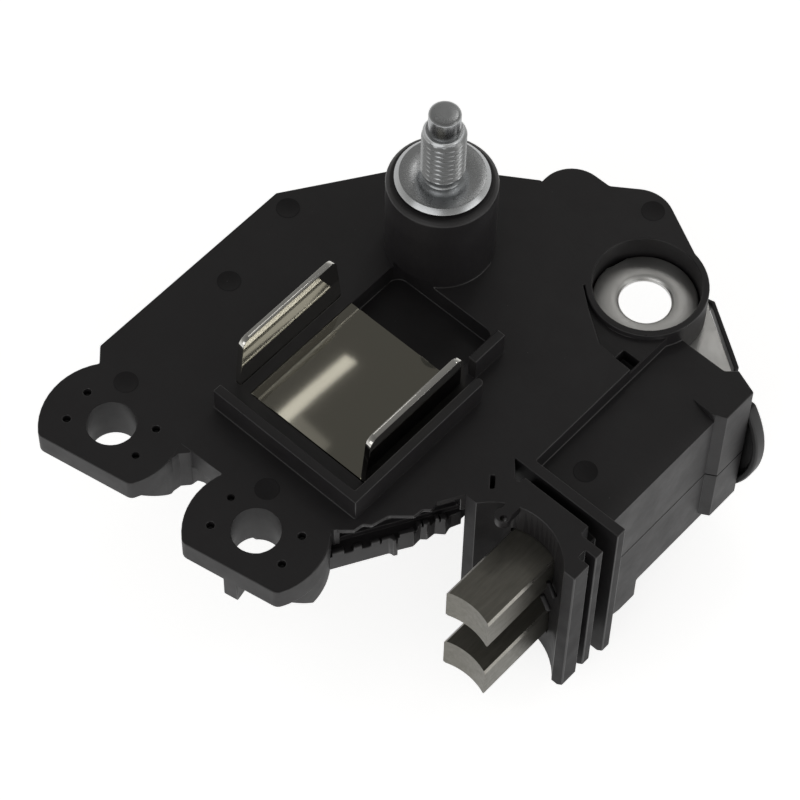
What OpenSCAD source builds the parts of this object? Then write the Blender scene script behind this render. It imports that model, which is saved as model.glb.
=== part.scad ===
/* [Carrier plate] */
// Thickness of the moulded carrier plate
plate_t = 3.2; // [2.9:0.1:3.8]
// Left edge of the plate, from the left ear's axis
plate_left = 8.1; // [8:0.1:9]
// Depth of the ear hubs and the module housing below the top face
hub_depth = 6.9; // [6.6:0.1:8]

/* [Mounting ears] */
// Distance between the two ear bores along X
ear_pitch = 20.8; // [19.6:0.1:21.4]
// Bore for the mounting screw in each ear
ear_bore = 5.5; // [4.5:0.1:6.5]
// Radius of each ear
ear_r = 8; // [7.4:0.1:8.4]
// Distance from the bore's axis to the flat front of the ear
ear_flat = 5.4; // [4.8:0.1:6]
// Diameter of the round hub under each ear
ear_hub_d = 7.4; // [7:0.1:8.4]

/* [Stud terminal] */
// Diameter of the boss round the stud
stud_boss_d = 12.6; // [11.8:0.1:14]
// Height of the boss above the plate
stud_boss_h = 12; // [9:0.5:14]
// Diameter of the collar on top of the boss
stud_collar_d = 10.8; // [9.6:0.1:11.6]
// Outer diameter of the stud's thread
stud_d = 5; // [4:0.5:6]
// Length of the threaded part
stud_thread = 7.4; // [5:0.2:10]
// Diameter of the plain tip
stud_tip_d = 3.6; // [2.6:0.1:3.8]
// Length of the plain tip
stud_tip = 2.8; // [1.5:0.1:4]

/* [Eyelet terminal] */
// Inner diameter of the round pocket
pocket_d = 12.4; // [11.6:0.1:13]
// Wall of the pocket
pocket_wall = 0.8; // [0.7:0.1:1.2]
// Depth of the pocket down to the eyelet's face
pocket_depth = 3.1; // [2.5:0.1:3.6]
// Outer diameter of the eyelet's face
eyelet_d = 12.1; // [11:0.1:12.2]
// Bore of the eyelet
eyelet_bore = 6; // [4.5:0.1:6.4]

/* [Heat sink] */
// Width of the bare metal tray between the plastic strip and the right fin
tray_w = 16.35; // [14:0.05:16.6]
// Length of the tray along Y
tray_l = 16.2; // [13:0.1:16.4]
// Thickness of the folded sheet
sheet_t = 0.75; // [0.6:0.05:0.8]
// Height of the two fins above the plate
fin_h = 7.4; // [4:0.1:12]
// Radius of the fins' upper corners
fin_corner = 1.2; // [0.4:0.1:2]

/* [Walls on the plate] */
// Height of the walls round the tray
rib_h = 3.3; // [1.5:0.1:5]
// Thickness of those walls
rib_t = 1.15; // [0.8:0.05:1.25]
// Depth of the shallow pit behind the tray
pit_depth = 2.6; // [1:0.1:2.6]

/* [Brush holder] */
// Width of a brush
brush_w = 6; // [5:0.1:6.4]
// Height of a brush
brush_h = 5; // [4:0.1:5.4]
// Distance between the two brushes' centres
brush_pitch = 11; // [10:0.1:11.6]
// How far a brush stands out of its channel
brush_out = 11.3; // [9:0.1:13]
// Length of a brush
brush_len = 20; // [19:0.1:22]
// Travel of a brush into its channel
brush_travel = 8; // [5:0.5:8.5]
// Radius of the hollow that the slip ring wears into the tip
ring_r = 7.75; // [6.5:0.05:9]
// Clearance between a brush and its channel on each side
brush_fit = 0.15; // [0.05:0.05:0.2]
// Side wall of the box round the brushes
box_wall = 1.95; // [1.7:0.05:2.3]
// Length from the front of the sealing collar to the rear end of the box
box_len = 32.55; // [31.5:0.05:36]
// Depth of the box below the plate's top face
box_depth = 25.1; // [24:0.1:27]

/* [Sealing collar] */
// Width of the collar's three walls
collar_w = 15.4; // [13.8:0.1:16.4]
// Thickness of the front wall
collar_front = 2.4; // [1.8:0.1:2.6]
// Thickness of the middle wall
collar_mid = 1.2; // [1:0.1:1.6]
// Thickness of the rear wall
collar_rear = 1.3; // [1:0.1:1.8]

/* [Brush springs] */
// Wire of the brush springs
wire_d = 0.45; // [0.3:0.05:0.6]
// Outer diameter of the brush springs
coil_d = 4.2; // [3.4:0.1:4.6]
// Number of coils
coils = 9; // [6:1:10]
// Diameter of the braided lead inside each spring
lead_d = 1.2; // [0.8:0.1:1.6]

/* [Hidden] */
$fn = 48;
eps = 0.01;
big = 60;

// ears
ear_step = 0.95;
ear_turn = 11;
ear_a = [0, 0];
ear_b = [ear_pitch, ear_step];
ear_round = 1;
ear_low = ear_round - ear_flat;
ear_across = sqrt(pow(ear_r - ear_round, 2) - ear_low * ear_low);
ear_turn_in = atan2(ear_low, ear_across);
pin_x = 4.5;
pin_y = 2;
pin_d = 0.85;
pin_depth = 1;
hub_end = hub_depth - 0.5;
skirt_t = 1.2;
skirt_in = 0.1;
skirt_a = -19;
skirt_b = 42;
skirt_y0 = ear_step - 2.65;
skirt_y1 = ear_step + 0.45;
peg_x0 = -1.05;
peg_x1 = 0.75;

// places along Y that the rear of the part follows
f1_y = 19.35;
box_y1 = f1_y + box_len;
pocket_at = [31.1, box_y1 + 1.75];

// outline of the plate, seen from above
left_foot_y = 6.35;
left_top_y = 34.6;
peak_c = pocket_at + [-6.55, 6.1];
hump_c = peak_c - [7.45, 2.6];
hump_r = 4.05;
back_dip = hump_c - [4.2, 0.7];
back_left = back_dip - [11.6, 7.75];
peak_r = 4.3;
peak_a = 125.5;
peak_b = 62.6;
edge_low = [ear_pitch + 6.1, 6.6];
edge_high = [34.25, 19.4];
edge_dir = (edge_high - edge_low) / norm(edge_high - edge_low);
edge_out = [edge_dir[1], -edge_dir[0]];
edge_len = norm(edge_high - edge_low);

// stud
stud_at = [10.15, 42.2];
boss_edge = 0.5;
collar_gap = 0.35;
collar_t = 0.65;
collar_edge = 0.85;
collar_rim = 0.25;
thread_edge = 0.55;
thread_end = 0.7;
knurl_d = 8;
neck_h = 0.6;
rivet_d = stud_d + 2.4;
rivet_h = 0.8;
tip_edge = 0.3;
z_flange = stud_boss_h + collar_gap;
z_collar = z_flange + collar_t;
z_thread = z_collar + neck_h;
z_tip = z_thread + stud_thread;
z_stud = z_tip + stud_tip;

// conductors that are moulded in
bar_t = 0.8;
z_under = -plate_t;
z_bar = z_under - bar_t;

// eyelet
pocket_r = pocket_d / 2 + pocket_wall;
eyelet_t = 0.8;
skirt_h = 1.2;
eyelet_edge = 0.3;
z_face = -pocket_depth;
z_seat = z_face - eyelet_t;
z_strap = z_seat - skirt_h;
tube_d = eyelet_bore + 3;
eyelet_flat = eyelet_d / 2 - 0.3;
eyelet_turn = 163.5;
strap_over = 0.5;
drop_depth = 0.8;
notch_y0 = pocket_at[1] - 10;
notch_w = 2.3;
notch_l = 1.9;
notch_floor = 0.6;

// heat sink and circuit
strip_w = 1.5;
fin_x = 6.9;
tray_x = fin_x + strip_w;
tray_y = 13.1;
tray_x1 = tray_x + tray_w;
tray_y1 = tray_y + tray_l;
tray_t = 1.45;
tray_proud = 0.05;
z_sheet = tray_proud - tray_t;
z_sheet_low = z_sheet - sheet_t;
sink_x0 = fin_x - sheet_t;
sink_x1 = tray_x1 + sheet_t;
fin_taper = 0.6;
ledge = 1.4;
groove_x = 1.15;
groove_w = 0.25;
ceramic_t = 0.65;
ceramic_gap = 0.8;
z_ceramic = z_sheet_low - ceramic_t;
chip_at = [13, 21];
chip_w = 6;
chip_t = 0.5;
cap_at = [19.4, 24];
cap_size = [3.2, 2.5, 1.2];
res_at = [19.4, 18.2];
res_size = [3.2, 1.6, 0.6];

// walls on the plate
wall_x1 = tray_x1 + sheet_t + 2.15;
wall_y0 = tray_y - 4;
wall_x0 = sink_x0 + 0.55;
wall_y1 = tray_y1 + 0.6;
short_x1 = wall_x1 - 2.4;
short_y0 = wall_y1 + 1.2;
short_y1 = short_y0 + 4.9;
pit_x0 = tray_x + 0.1;
pit_x1 = short_x1 - rib_t - 0.9;
pit_y1 = tray_y1 + 7.65;
pit_round = 1.5;

// module housing under the plate
room_x0 = 2.5;
room_x1 = 27;
room_y0 = 11.6;
room_y1 = 33.5;
room_round = 1.5;
lid_lip = 0.8;
lid_fit = 0.08;
lid_t = 0.8;
z_room = -hub_depth;
z_lid = z_room + lid_t;
z_gel = (z_bar + z_lid) / 2;
house_wall = 1.6;
web_t = 2;

// toothed apron under the slanted edge, as distances along the edge and out from it
lip_t = 0.7;
slot_in = 1.5;
apron_in = 0.9;
apron_top = 3.5;
apron_low = 4.2;
apron_line = [
    [-0.9, 0.85], [6, 0.85], [6.3, 1.3], [6.75, 1.3], [6.9, 0.75], [8.7, 0.8], [9.7, 0.2],
    [10.4, 0.45], [11.4, 0], [12.5, 0.45], [13.2, -0.2], [14.6, -0.35]
];
apron_back = -1.7;
// the ragged lip above the slot, in the same distances
lip_line = [
    [0.3, 0.04], [1.1, 0.35], [2, 0.6], [3.1, 0.2], [4, 0.6], [6.1, 0.05], [7.5, 0.5], [8.7, 0.9],
    [9.8, 0.4], [10.7, 0.7], [11.5, 0.05]
];
// where each tooth starts, its width and the place of its back
teeth = [
    [-0.5, 1.4, 0.3], [1.9, 1, 0.3], [3.9, 1, 0.3], [5.1, 1.5, 0.4], [7.1, 1.7, 0.2], [9.3, 0.5, -0.4],
    [10, 0.8, -0.3], [11.45, 0.4, -0.6], [12, 0.7, -0.5]
];

// brush holder
box_x = 42;
box_top = 2.4;
box_w = brush_w + 2 * box_wall;
box_x0 = box_x - box_w / 2;
box_x1 = box_x + box_w / 2;
z_brush_a = -7.5;
z_brush_b = z_brush_a - brush_pitch;
mouth_y = 22.5;
mouth_r = 7.6;
tip_y = mouth_y - brush_out;
brush_y1 = tip_y + brush_len;
brush_bevel = 0.35;
step_y = box_y1 - 3.5;
term_t = 0.6;
term_over = 0.6;
box_bevel = 1.3;
box_slope = 3.2;
seam_z = -14.8;
seam_w = 0.2;
seam_in = 0.22;
tail_y = box_y1 - 5.3;
tail_turn = 0.7;
tail_out = 1.2;
tail_depth = box_depth - 1.3;
tail_x1 = box_x1 + tail_out;
tail_y2 = box_y1 + 1.1;
cap_gap = 0.1;

// collar
col_x0 = box_x - collar_w / 2;
col_x1 = box_x + collar_w / 2;
f1_y1 = f1_y + collar_front;
f3_y1 = f1_y + 8.4;
f3_y = f3_y1 - collar_rear;
f2_y = f1_y1 + 1.1;
f2_y1 = f2_y + collar_mid;
f1_depth = box_depth - 0.1;
f2_depth = box_depth - 0.1;
f3_depth = box_depth + 1.7;
fin_bevel = 0.7;
slot_deep = 1.5;
slot_x0 = col_x0 + 0.3;
slit_a = [col_x0 + 0.5, f2_y + 0.35];
slit_b = [col_x0 + 1.55, f1_y1 + 0.15];
slit_w = [0.19, 0.16];
core_x0 = box_x0;
core_x1 = box_x1 - 0.35;
core_y1 = f2_y1 + 1.3;
lug_at = [box_x - 3.1, f1_y + 0.85];
lug_d = 1.8;
lug_h = 1.3;
lug_bore = 0.8;
foot_y0 = f3_y1;
foot_y1 = 35.8;
foot_y = 33.2;
foot_h = 3.55;

// rear cap
cap_back = 1.6;
cap_floor = 0.6;
cap_wall = 0.8;
cap_bulge = 15;
cap_half = 8.1;
cap_z0 = -7;
cap_z1 = -23;
cap_mid = (cap_z0 + cap_z1) / 2;

// conductor routes
plus_x0 = 3.2;
plus_w = 4.5;
plus_in = 2.6;
plus_disc = 11;
earth_x0 = 22.6;
earth_w = 4;
earth_step_y = 41.2;
field_y0 = f3_y1 + 0.75;
field_w = 3;
field_fall = 3.5;
bar_gap = 0.6;
field_foot = 2;
field_end = step_y - 0.9;

function polar(r, a) = [r * cos(a), r * sin(a)];

// a block given by its limits
module block(x0, x1, y0, y1, z0, z1) {
    translate([x0, y0, z0]) cube([x1 - x0, y1 - y0, z1 - z0]);
}

// a flat outline raised between two heights
module slab(z0, z1) {
    translate([0, 0, z0]) linear_extrude(z1 - z0) children();
}

// points along an arc, with its first point or without it
function arc(c, r, a, b, n) = [for (i = [0 : n]) c + polar(r, a + (b - a) * i / n)];
function turn(c, r, a, b, n) = [for (i = [1 : n]) c + polar(r, a + (b - a) * i / n)];

// what a rounded corner leaves off between two directions
module corner_off(c, r, a, b) {
    difference() {
        polygon([c, c + polar(3 * r, a), c + polar(4 * r, (a + b) / 2), c + polar(3 * r, b)]);
        translate(c) circle(r);
    }
}

// rectangle with round corners
module soft_rect(x0, x1, y0, y1, r) {
    translate([x0 + r, y0]) square([x1 - x0 - 2 * r, y1 - y0]);
    translate([x0, y0 + r]) square([x1 - x0, y1 - y0 - 2 * r]);
    for (x = [x0 + r, x1 - r]) {
        for (y = [y0 + r, y1 - r]) {
            translate([x, y]) circle(r);
        }
    }
}

// one ear: a disc cut flat in front, with the two corners rounded
module ear_2d(at) {
    a = ear_turn_in;
    translate(at) rotate(ear_turn) polygon(concat(
        turn([0, 0], ear_r, a, 180 - a, 36),
        turn([-ear_across, ear_low], ear_round, 180 - a, 270, 5),
        [[ear_across, -ear_flat]],
        turn([ear_across, ear_low], ear_round, 270, 360 + a, 5)
    ));
}

module plate_2d() {
    polygon(concat(
        [[-plate_left, left_foot_y], [-plate_left, left_top_y], back_left, back_dip],
        arc(hump_c, hump_r, 190, 90, 12),
        [hump_c + [2.1, hump_r]],
        arc(peak_c, peak_r, peak_a, peak_b, 10),
        [
            pocket_at + polar(pocket_r - 0.3, peak_b), [box_x0, box_y1 - 1], [box_x0, f1_y + 2],
            edge_high, edge_low, ear_b + [1, 3], [ear_pitch / 2, 3.4], ear_a + [1, 3],
            [-plate_left + 2.3, 3.9]
        ]
    ));
    ear_2d(ear_a);
    ear_2d(ear_b);
}

// the shallow recess that runs from the wall of the round pocket to the brush holder
module drop_2d() {
    difference() {
        polygon([
            pocket_at - [4.8, 3.65], pocket_at - [5.2, 5], pocket_at - [2.9, 6.85],
            pocket_at - [-1.3, 9.75], [box_x0 + 0.3, pocket_at[1] - 10.05],
            [box_x0 + 0.3, pocket_at[1] - 3], pocket_at
        ]);
        translate(pocket_at) circle(pocket_r);
    }
}

module house_2d() {
    x0 = room_x0 - lid_lip - house_wall;
    x1 = room_x1 + lid_lip + house_wall;
    y1 = room_y1 + lid_lip + house_wall;
    inner_low = edge_low - apron_in * edge_out + edge_dir;
    inner_high = edge_high - apron_in * edge_out;
    polygon([
        [x0, room_y0 - 3], [x0, y1 - 4], [x0 + 4, y1], [x1, y1], [inner_high[0], y1 - 3],
        inner_high, inner_low, ear_b + [4.2, 2.2], ear_b + [-4.2, 1.7],
        [ear_pitch / 2, 3.6], ear_a + [8.6, 3.2], [3, room_y0 - 3]
    ]);
}

module hubs_2d() {
    for (e = [ear_a, ear_b]) {
        translate(e) circle(d = ear_hub_d);
    }
}

// an area given by distances along the slanted edge and out from it
function along(p) = edge_low + p[0] * edge_dir + p[1] * edge_out;
module beside_edge(line) {
    polygon([for (p = line) along(p)]);
}

module apron_2d() {
    beside_edge(concat(apron_line, [[14.6, apron_back], [-0.9, apron_back]]));
}

module apron() {
    slab(z_room, -apron_low) apron_2d();
    slab(-apron_low - eps, -apron_top) intersection() {
        apron_2d();
        for (t = teeth) {
            beside_edge([[t[0], t[2]], [t[0] + t[1], t[2]], [t[0] + t[1], 4], [t[0], 4]]);
        }
    }
    slab(-lip_t, 0) beside_edge(concat([[lip_line[0][0], -0.5]], lip_line, [[lip_line[len(lip_line) - 1][0], -0.5]]));
}

// wall under the right ear that ends in a slope
module ear_skirt() {
    difference() {
        slab(z_room, z_under) polygon(concat(
            arc(ear_b, ear_r - skirt_in, skirt_a, skirt_b, 12),
            arc(ear_b, ear_r - skirt_in - skirt_t, skirt_b, skirt_a, 12)
        ));
        translate([ear_b[0], 0, 0]) rotate([90, 0, 90]) linear_extrude(big) polygon([
            [skirt_y1, z_room - 1], [skirt_y1, z_room], [skirt_y0, z_under + eps],
            [skirt_y0 - 5, z_under + eps], [skirt_y0 - 5, z_room - 1]
        ]);
    }
    // short web between the hub and the flat front
    translate([ear_b[0], ear_b[1], z_room]) rotate(ear_turn)
        translate([peg_x0, -ear_flat + 0.25, 0]) cube([peg_x1 - peg_x0, 3, hub_depth - plate_t]);
}

module collar_walls() {
    mid = (col_x0 + col_x1) / 2;
    for (f = [[f1_y, f1_y1, f1_depth], [f2_y, f2_y1, f2_depth], [f3_y, f3_y1, f3_depth]]) {
        translate([0, f[1], 0]) rotate([90, 0, 0]) linear_extrude(f[1] - f[0]) polygon([
            [col_x0, 0], [col_x1, 0], [col_x1, -f[2] + fin_bevel], [col_x1 - fin_bevel, -f[2]],
            [col_x0 + fin_bevel, -f[2]], [col_x0, -f[2] + fin_bevel]
        ]);
    }
}

module box_body() {
    // the core inside the collar, level with the plate
    block(slot_x0 + slot_deep, col_x1 - slot_deep, f1_y1 - 0.5, f2_y + 0.5, -box_top - 1, 0);
    block(core_x0, core_x1, f2_y1 - 0.3, core_y1, -box_top - 1, 0);
    // the foot under the box, behind the collar
    translate([box_x0, 0, 0]) rotate([90, 0, 90]) linear_extrude(box_w) polygon([
        [foot_y0 - 0.5, 1 - box_depth], [foot_y0 - 0.5, -f3_depth + 0.5], [foot_y, -box_depth - foot_h],
        [foot_y1, -box_depth - foot_h], [foot_y1, 1 - box_depth]
    ]);
    // the box with the sloping upper right edge
    translate([0, box_y1, 0]) rotate([90, 0, 0]) linear_extrude(box_y1 - f1_y1 + 1) polygon([
        [box_x0, -box_top], [box_x1 - box_slope, -box_top], [box_x1, -box_top - box_bevel],
        [box_x1, -box_depth], [box_x0, -box_depth]
    ]);
    // the thicker rear end, with its corner drawn out above the cap
    slab(-tail_depth, -box_top) polygon([
        [box_x0 + 1, tail_y], [box_x1, tail_y], [tail_x1, tail_y + tail_turn], [tail_x1, box_y1], [box_x0 + 1, box_y1]
    ]);
    slab(cap_z0 + cap_gap, -box_top) polygon([
        [tail_x1, box_y1 - 1], [tail_x1, box_y1], [tail_x1 - 3, tail_y2], [tail_x1 - 4.2, box_y1],
        [tail_x1 - 4.2, box_y1 - 1]
    ]);
}

// the two channels, each with a wider seat for its contact plate at the rear
module channels() {
    w = brush_w / 2 + brush_fit;
    h = brush_h / 2 + brush_fit;
    for (z = [z_brush_a, z_brush_b]) {
        block(box_x - w, box_x + w, f1_y - 5, box_y1 + 1, z - h, z + h);
        block(box_x - w - term_over, box_x + w + term_over, step_y, box_y1 + 1,
            z - h - term_over / 2, z + h + term_over / 2);
    }
    // way out for the tab of the lower contact plate
    block(box_x0 - 1, box_x, step_y, box_y1 + 1, z_brush_b - 1.5, z_brush_b + 1.5);
}

module carrier() {
    color([0.10, 0.10, 0.11]) {
    lug();
    difference() {
        union() {
            slab(z_under, 0) plate_2d();
            slab(z_room, z_under) house_2d();
            slab(-hub_end, z_under) hubs_2d();
            block(-web_t / 2, web_t / 2, 2, room_y0, -hub_end, z_under);
            // stud boss with its broken edge
            translate([stud_at[0], stud_at[1], -eps]) cylinder(d = stud_boss_d, h = stud_boss_h - boss_edge + eps);
            translate([stud_at[0], stud_at[1], stud_boss_h - boss_edge])
                cylinder(d1 = stud_boss_d, d2 = stud_boss_d - 2 * boss_edge, h = boss_edge);
            // pocket
            slab(z_strap, 0) translate(pocket_at) circle(pocket_r);
            // walls beside the tray
            block(wall_x0, wall_x1, wall_y0, wall_y0 + rib_t, -eps, rib_h);
            block(wall_x1 - rib_t, wall_x1, wall_y0, wall_y1 - rib_t / 2, -eps, rib_h);
            translate([wall_x1 - rib_t / 2, wall_y1 - rib_t / 2, -eps]) cylinder(d = rib_t, h = rib_h + eps);
            block(short_x1 - rib_t, short_x1, short_y0, short_y1, -eps, rib_h);
            apron();
            ear_skirt();
            collar_walls();
            box_body();
        }
        // ears
        for (e = [ear_a, ear_b]) {
            translate([e[0], e[1], -big / 2]) cylinder(d = ear_bore, h = big);
            translate([e[0], e[1], -pin_depth]) rotate(ear_turn) for (x = [-pin_x, pin_x]) {
                for (y = [-pin_y, pin_y]) {
                    translate([x, y, 0]) cylinder(d = pin_d, h = pin_depth + 1);
                }
            }
        }
        // arch in the wall between the ears
        translate([ear_pitch / 2, 8, z_room]) rotate([90, 0, 0]) cylinder(r = 1.6, h = 8);
        // stud
        translate([stud_at[0], stud_at[1], z_under - 1]) cylinder(d = knurl_d, h = stud_boss_h + plate_t + 2);
        // pocket, and the recess beside it with its deeper corner
        translate([pocket_at[0], pocket_at[1], -big / 2]) cylinder(d = pocket_d, h = big);
        slab(-drop_depth, 1) drop_2d();
        block(box_x0 - notch_w - 0.2, box_x0 - 0.2, notch_y0, notch_y0 + notch_l, z_under + notch_floor, 1);
        // heat sink, tray and the window under them
        block(sink_x0, fin_x, tray_y, tray_y1, z_sheet_low, 1);
        block(tray_x1, sink_x1, tray_y, tray_y1, z_sheet_low, 1);
        block(tray_x, tray_x1, tray_y, tray_y1, z_sheet_low, 1);
        block(sink_x0, sink_x1, tray_y, tray_y1, z_sheet_low, z_sheet);
        block(sink_x0 + ledge, sink_x1 - ledge, tray_y + ledge, tray_y1 - ledge, z_under - 1, z_sheet_low + eps);
        // pit behind the tray
        slab(-pit_depth, 1) soft_rect(pit_x0, pit_x1, tray_y1, pit_y1, pit_round);
        block(pit_x0, pit_x1 - pit_round, tray_y1, tray_y1 + pit_round, -pit_depth, 1);
        // slot under the slanted edge, above the teeth
        slab(-apron_top, -lip_t) beside_edge([[0.6, -slot_in], [0.6, 2], [edge_len - 0.6, 2], [edge_len - 0.6, -slot_in]]);
        // room for the circuit and the seat of its cover
        slab(z_room - 1, z_under) soft_rect(room_x0, room_x1, room_y0, room_y1, room_round);
        slab(z_room - 1, z_lid) soft_rect(room_x0 - lid_lip - lid_fit, room_x1 + lid_lip + lid_fit,
            room_y0 - lid_lip - lid_fit, room_y1 + lid_lip + lid_fit, room_round);
        // conductors
        positive_route();
        ground_route();
        field_route();
        // hollow front of the collar
        translate([box_x, mouth_y - mouth_r, -big / 2]) cylinder(r = mouth_r, h = big);
        // the collar's grooves
        block(slot_x0, slot_x0 + slot_deep, f1_y1, f2_y, -big / 2, z_under);
        slab(z_under - eps, 1) polygon([slit_a - slit_w, slit_a + slit_w, slit_b + slit_w, slit_b - slit_w]);
        block(col_x1 - slot_deep, col_x1 + 1, f1_y1, f2_y, -big / 2, 1);
        block(slot_x0, box_x0 + 0.4, f2_y1, f3_y, -big / 2, z_under);
        slab(z_under - eps, 1) polygon([
            [slot_x0 + 0.5, f3_y], [box_x0 - 0.1, f2_y1 + 0.45], [box_x0 + 0.4, f2_y1 + 0.45], [box_x0 + 0.4, f3_y]
        ]);
        block(box_x1 - 0.1, col_x1 + 1, f2_y1, f3_y, -big / 2, 1);
        block(box_x0 + 0.3, box_x1, core_y1, f3_y, -box_top, 1);
        channels();
        // seam along the box and round its rear corner
        slab(seam_z - seam_w / 2, seam_z + seam_w / 2) polygon([
            [box_x1 - seam_in, f3_y1], [box_x1 - seam_in, tail_y + seam_in / 2],
            [tail_x1 - seam_in, tail_y + tail_turn + seam_in / 2], [tail_x1 - seam_in, box_y1 + 1],
            [tail_x1 + 2, box_y1 + 1], [tail_x1 + 2, f3_y1]
        ]);
    }
    }
}

// small bored lug at the left of the collar's hollow front
module lug() {
    difference() {
        union() {
            translate([lug_at[0], lug_at[1], -lug_h]) cylinder(d = lug_d, h = lug_h);
            block(lug_at[0] - lug_d / 2 + 0.2, lug_at[0] + lug_d / 2 - 0.2, lug_at[1], mouth_y, -lug_h, 0);
        }
        translate([lug_at[0] + 0.3, lug_at[1] - 0.3, -lug_h - 1]) cylinder(d = lug_bore, h = lug_h + 2);
    }
}

module heat_sink() {
    color([0.55, 0.55, 0.55]) {
        block(sink_x0, sink_x1, tray_y, tray_y1, z_sheet_low, z_sheet);
        for (x = [sink_x0, tray_x1]) {
            difference() {
                block(x, x + sheet_t, tray_y, tray_y1, z_sheet - eps, fin_h);
                for (s = [0, 1]) {
                    translate([x - 1, s * (tray_y + tray_y1), 0]) mirror([0, s, 0])
                        rotate([90, 0, 90]) linear_extrude(sheet_t + 2) {
                        polygon([[tray_y - 1, 1], [tray_y, 1], [tray_y + fin_taper, fin_h], [tray_y + fin_taper, fin_h + 1],
                            [tray_y - 1, fin_h + 1]]);
                        corner_off([tray_y + fin_taper + fin_corner, fin_h - fin_corner], fin_corner, 90, 180);
                    }
                }
            }
        }
    }
}

module heat_spreader() {
    color([0.42, 0.40, 0.36]) difference() {
        block(tray_x, tray_x1, tray_y, tray_y1, z_sheet, tray_proud);
        block(tray_x + groove_x, tray_x + groove_x + groove_w, tray_y - 1, tray_y1 + 1, tray_proud - 0.15, tray_proud + 1);
    }
}

module ceramic_substrate() {
    color([0.85, 0.83, 0.78]) block(sink_x0 + ledge + ceramic_gap, sink_x1 - ledge - ceramic_gap,
        tray_y + ledge + ceramic_gap, tray_y1 - ledge - ceramic_gap, z_ceramic, z_sheet_low);
}

module on_ceramic(at, size) {
    block(at[0] - size[0] / 2, at[0] + size[0] / 2, at[1] - size[1] / 2, at[1] + size[1] / 2,
        z_ceramic - size[2], z_ceramic);
}

module regulator_chip() {
    color([0.25, 0.27, 0.32]) on_ceramic(chip_at, [chip_w, chip_w, chip_t]);
}

module filter_capacitor() {
    color([0.66, 0.52, 0.36]) on_ceramic(cap_at, cap_size);
}

module sense_resistor() {
    color([0.15, 0.15, 0.17]) on_ceramic(res_at, res_size);
}

module potting_gel() {
    color([0.80, 0.78, 0.70]) difference() {
        union() {
            slab(z_gel, z_under) soft_rect(room_x0, room_x1, room_y0, room_y1, room_round);
            block(sink_x0 + ledge, sink_x1 - ledge, tray_y + ledge, tray_y1 - ledge, z_under - eps, z_sheet_low);
        }
        block(sink_x0 + ledge + ceramic_gap, sink_x1 - ledge - ceramic_gap,
            tray_y + ledge + ceramic_gap, tray_y1 - ledge - ceramic_gap, z_ceramic, z_sheet_low + 1);
        on_ceramic(chip_at, [chip_w, chip_w, chip_t]);
        on_ceramic(cap_at, cap_size);
        on_ceramic(res_at, res_size);
        positive_route();
        ground_route();
        field_route();
    }
}

module underside_cover() {
    color([0.13, 0.13, 0.14]) slab(z_room, z_lid)
        soft_rect(room_x0 - lid_lip, room_x1 + lid_lip, room_y0 - lid_lip, room_y1 + lid_lip, room_round);
}

module stud_bolt() {
    color([0.72, 0.73, 0.75]) translate([stud_at[0], stud_at[1], 0]) rotate_extrude() polygon([
        [0, z_bar - rivet_h], [rivet_d / 2, z_bar - rivet_h], [rivet_d / 2, z_bar], [stud_d / 2, z_bar],
        [stud_d / 2, z_under], [knurl_d / 2, z_under], [knurl_d / 2, z_flange],
        [stud_collar_d / 2, z_flange], [stud_collar_d / 2, z_flange + collar_rim],
        [stud_collar_d / 2 - collar_edge, z_collar], [stud_d / 2, z_collar],
        [stud_d / 2, z_tip - thread_end], [stud_d / 2 - thread_edge, z_tip],
        [stud_tip_d / 2, z_tip],
        [stud_tip_d / 2, z_stud - tip_edge], [stud_tip_d / 2 - tip_edge, z_stud], [0, z_stud]
    ]);
}

// pressed cup with its face up and its skirt standing on the strap
module terminal_eyelet() {
    r = eyelet_d / 2;
    b = eyelet_bore / 2;
    color([0.70, 0.70, 0.70]) translate([pocket_at[0], pocket_at[1], 0]) difference() {
        rotate_extrude() polygon([
            [b, z_seat], [r - bar_t, z_seat], [r - bar_t, z_strap], [r, z_strap], [r, z_face],
            [b + eyelet_edge, z_face], [b, z_face - eyelet_edge]
        ]);
        // flat side of the eyelet
        rotate(eyelet_turn) translate([eyelet_flat, -big / 2, z_strap - 1]) cube([big, big, big]);
    }
}

module positive_route() {
    slab(z_bar, z_under) {
        translate(stud_at) circle(d = plus_disc);
        translate([plus_x0, stud_at[1] - plus_w / 2]) square([stud_at[0] - plus_x0, plus_w]);
        translate([plus_x0, room_y1 - plus_in]) square([plus_w, stud_at[1] - room_y1 + plus_in]);
    }
}

module positive_bar() {
    color([0.80, 0.62, 0.35]) difference() {
        positive_route();
        translate([stud_at[0], stud_at[1], z_bar - 1]) cylinder(d = stud_d, h = bar_t + 2);
    }
}

// the strap under the pocket, its arm to the upper brush and its arm to the circuit
module ground_route() {
    r = pocket_r + strap_over;
    a = 54.6;
    z0 = z_strap - bar_t;
    slab(z0, z_strap) {
        translate(pocket_at) circle(r);
        polygon([pocket_at, pocket_at + polar(r - 0.25, a), pocket_at + [12.3, 0.5],
            [box_x + 3, box_y1 + 1], [box_x + 2, box_y1 + 0.05], [box_x0 - 1, box_y1 + 0.05]]);
        translate([box_x - 2, step_y + term_t]) square([4, box_y1 - step_y]);
        translate([earth_x0, earth_step_y]) square([earth_w, pocket_at[1] - earth_step_y]);
    }
    block(earth_x0, earth_x0 + earth_w, earth_step_y, earth_step_y + bar_t, z0, z_under);
    block(earth_x0, earth_x0 + earth_w, field_y0 + field_w + bar_gap, earth_step_y + bar_t, z_bar, z_under);
}

module ground_bar() {
    color([0.78, 0.78, 0.78]) difference() {
        ground_route();
        translate([pocket_at[0], pocket_at[1], -big / 2]) cylinder(d = tube_d, h = big);
    }
}

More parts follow.
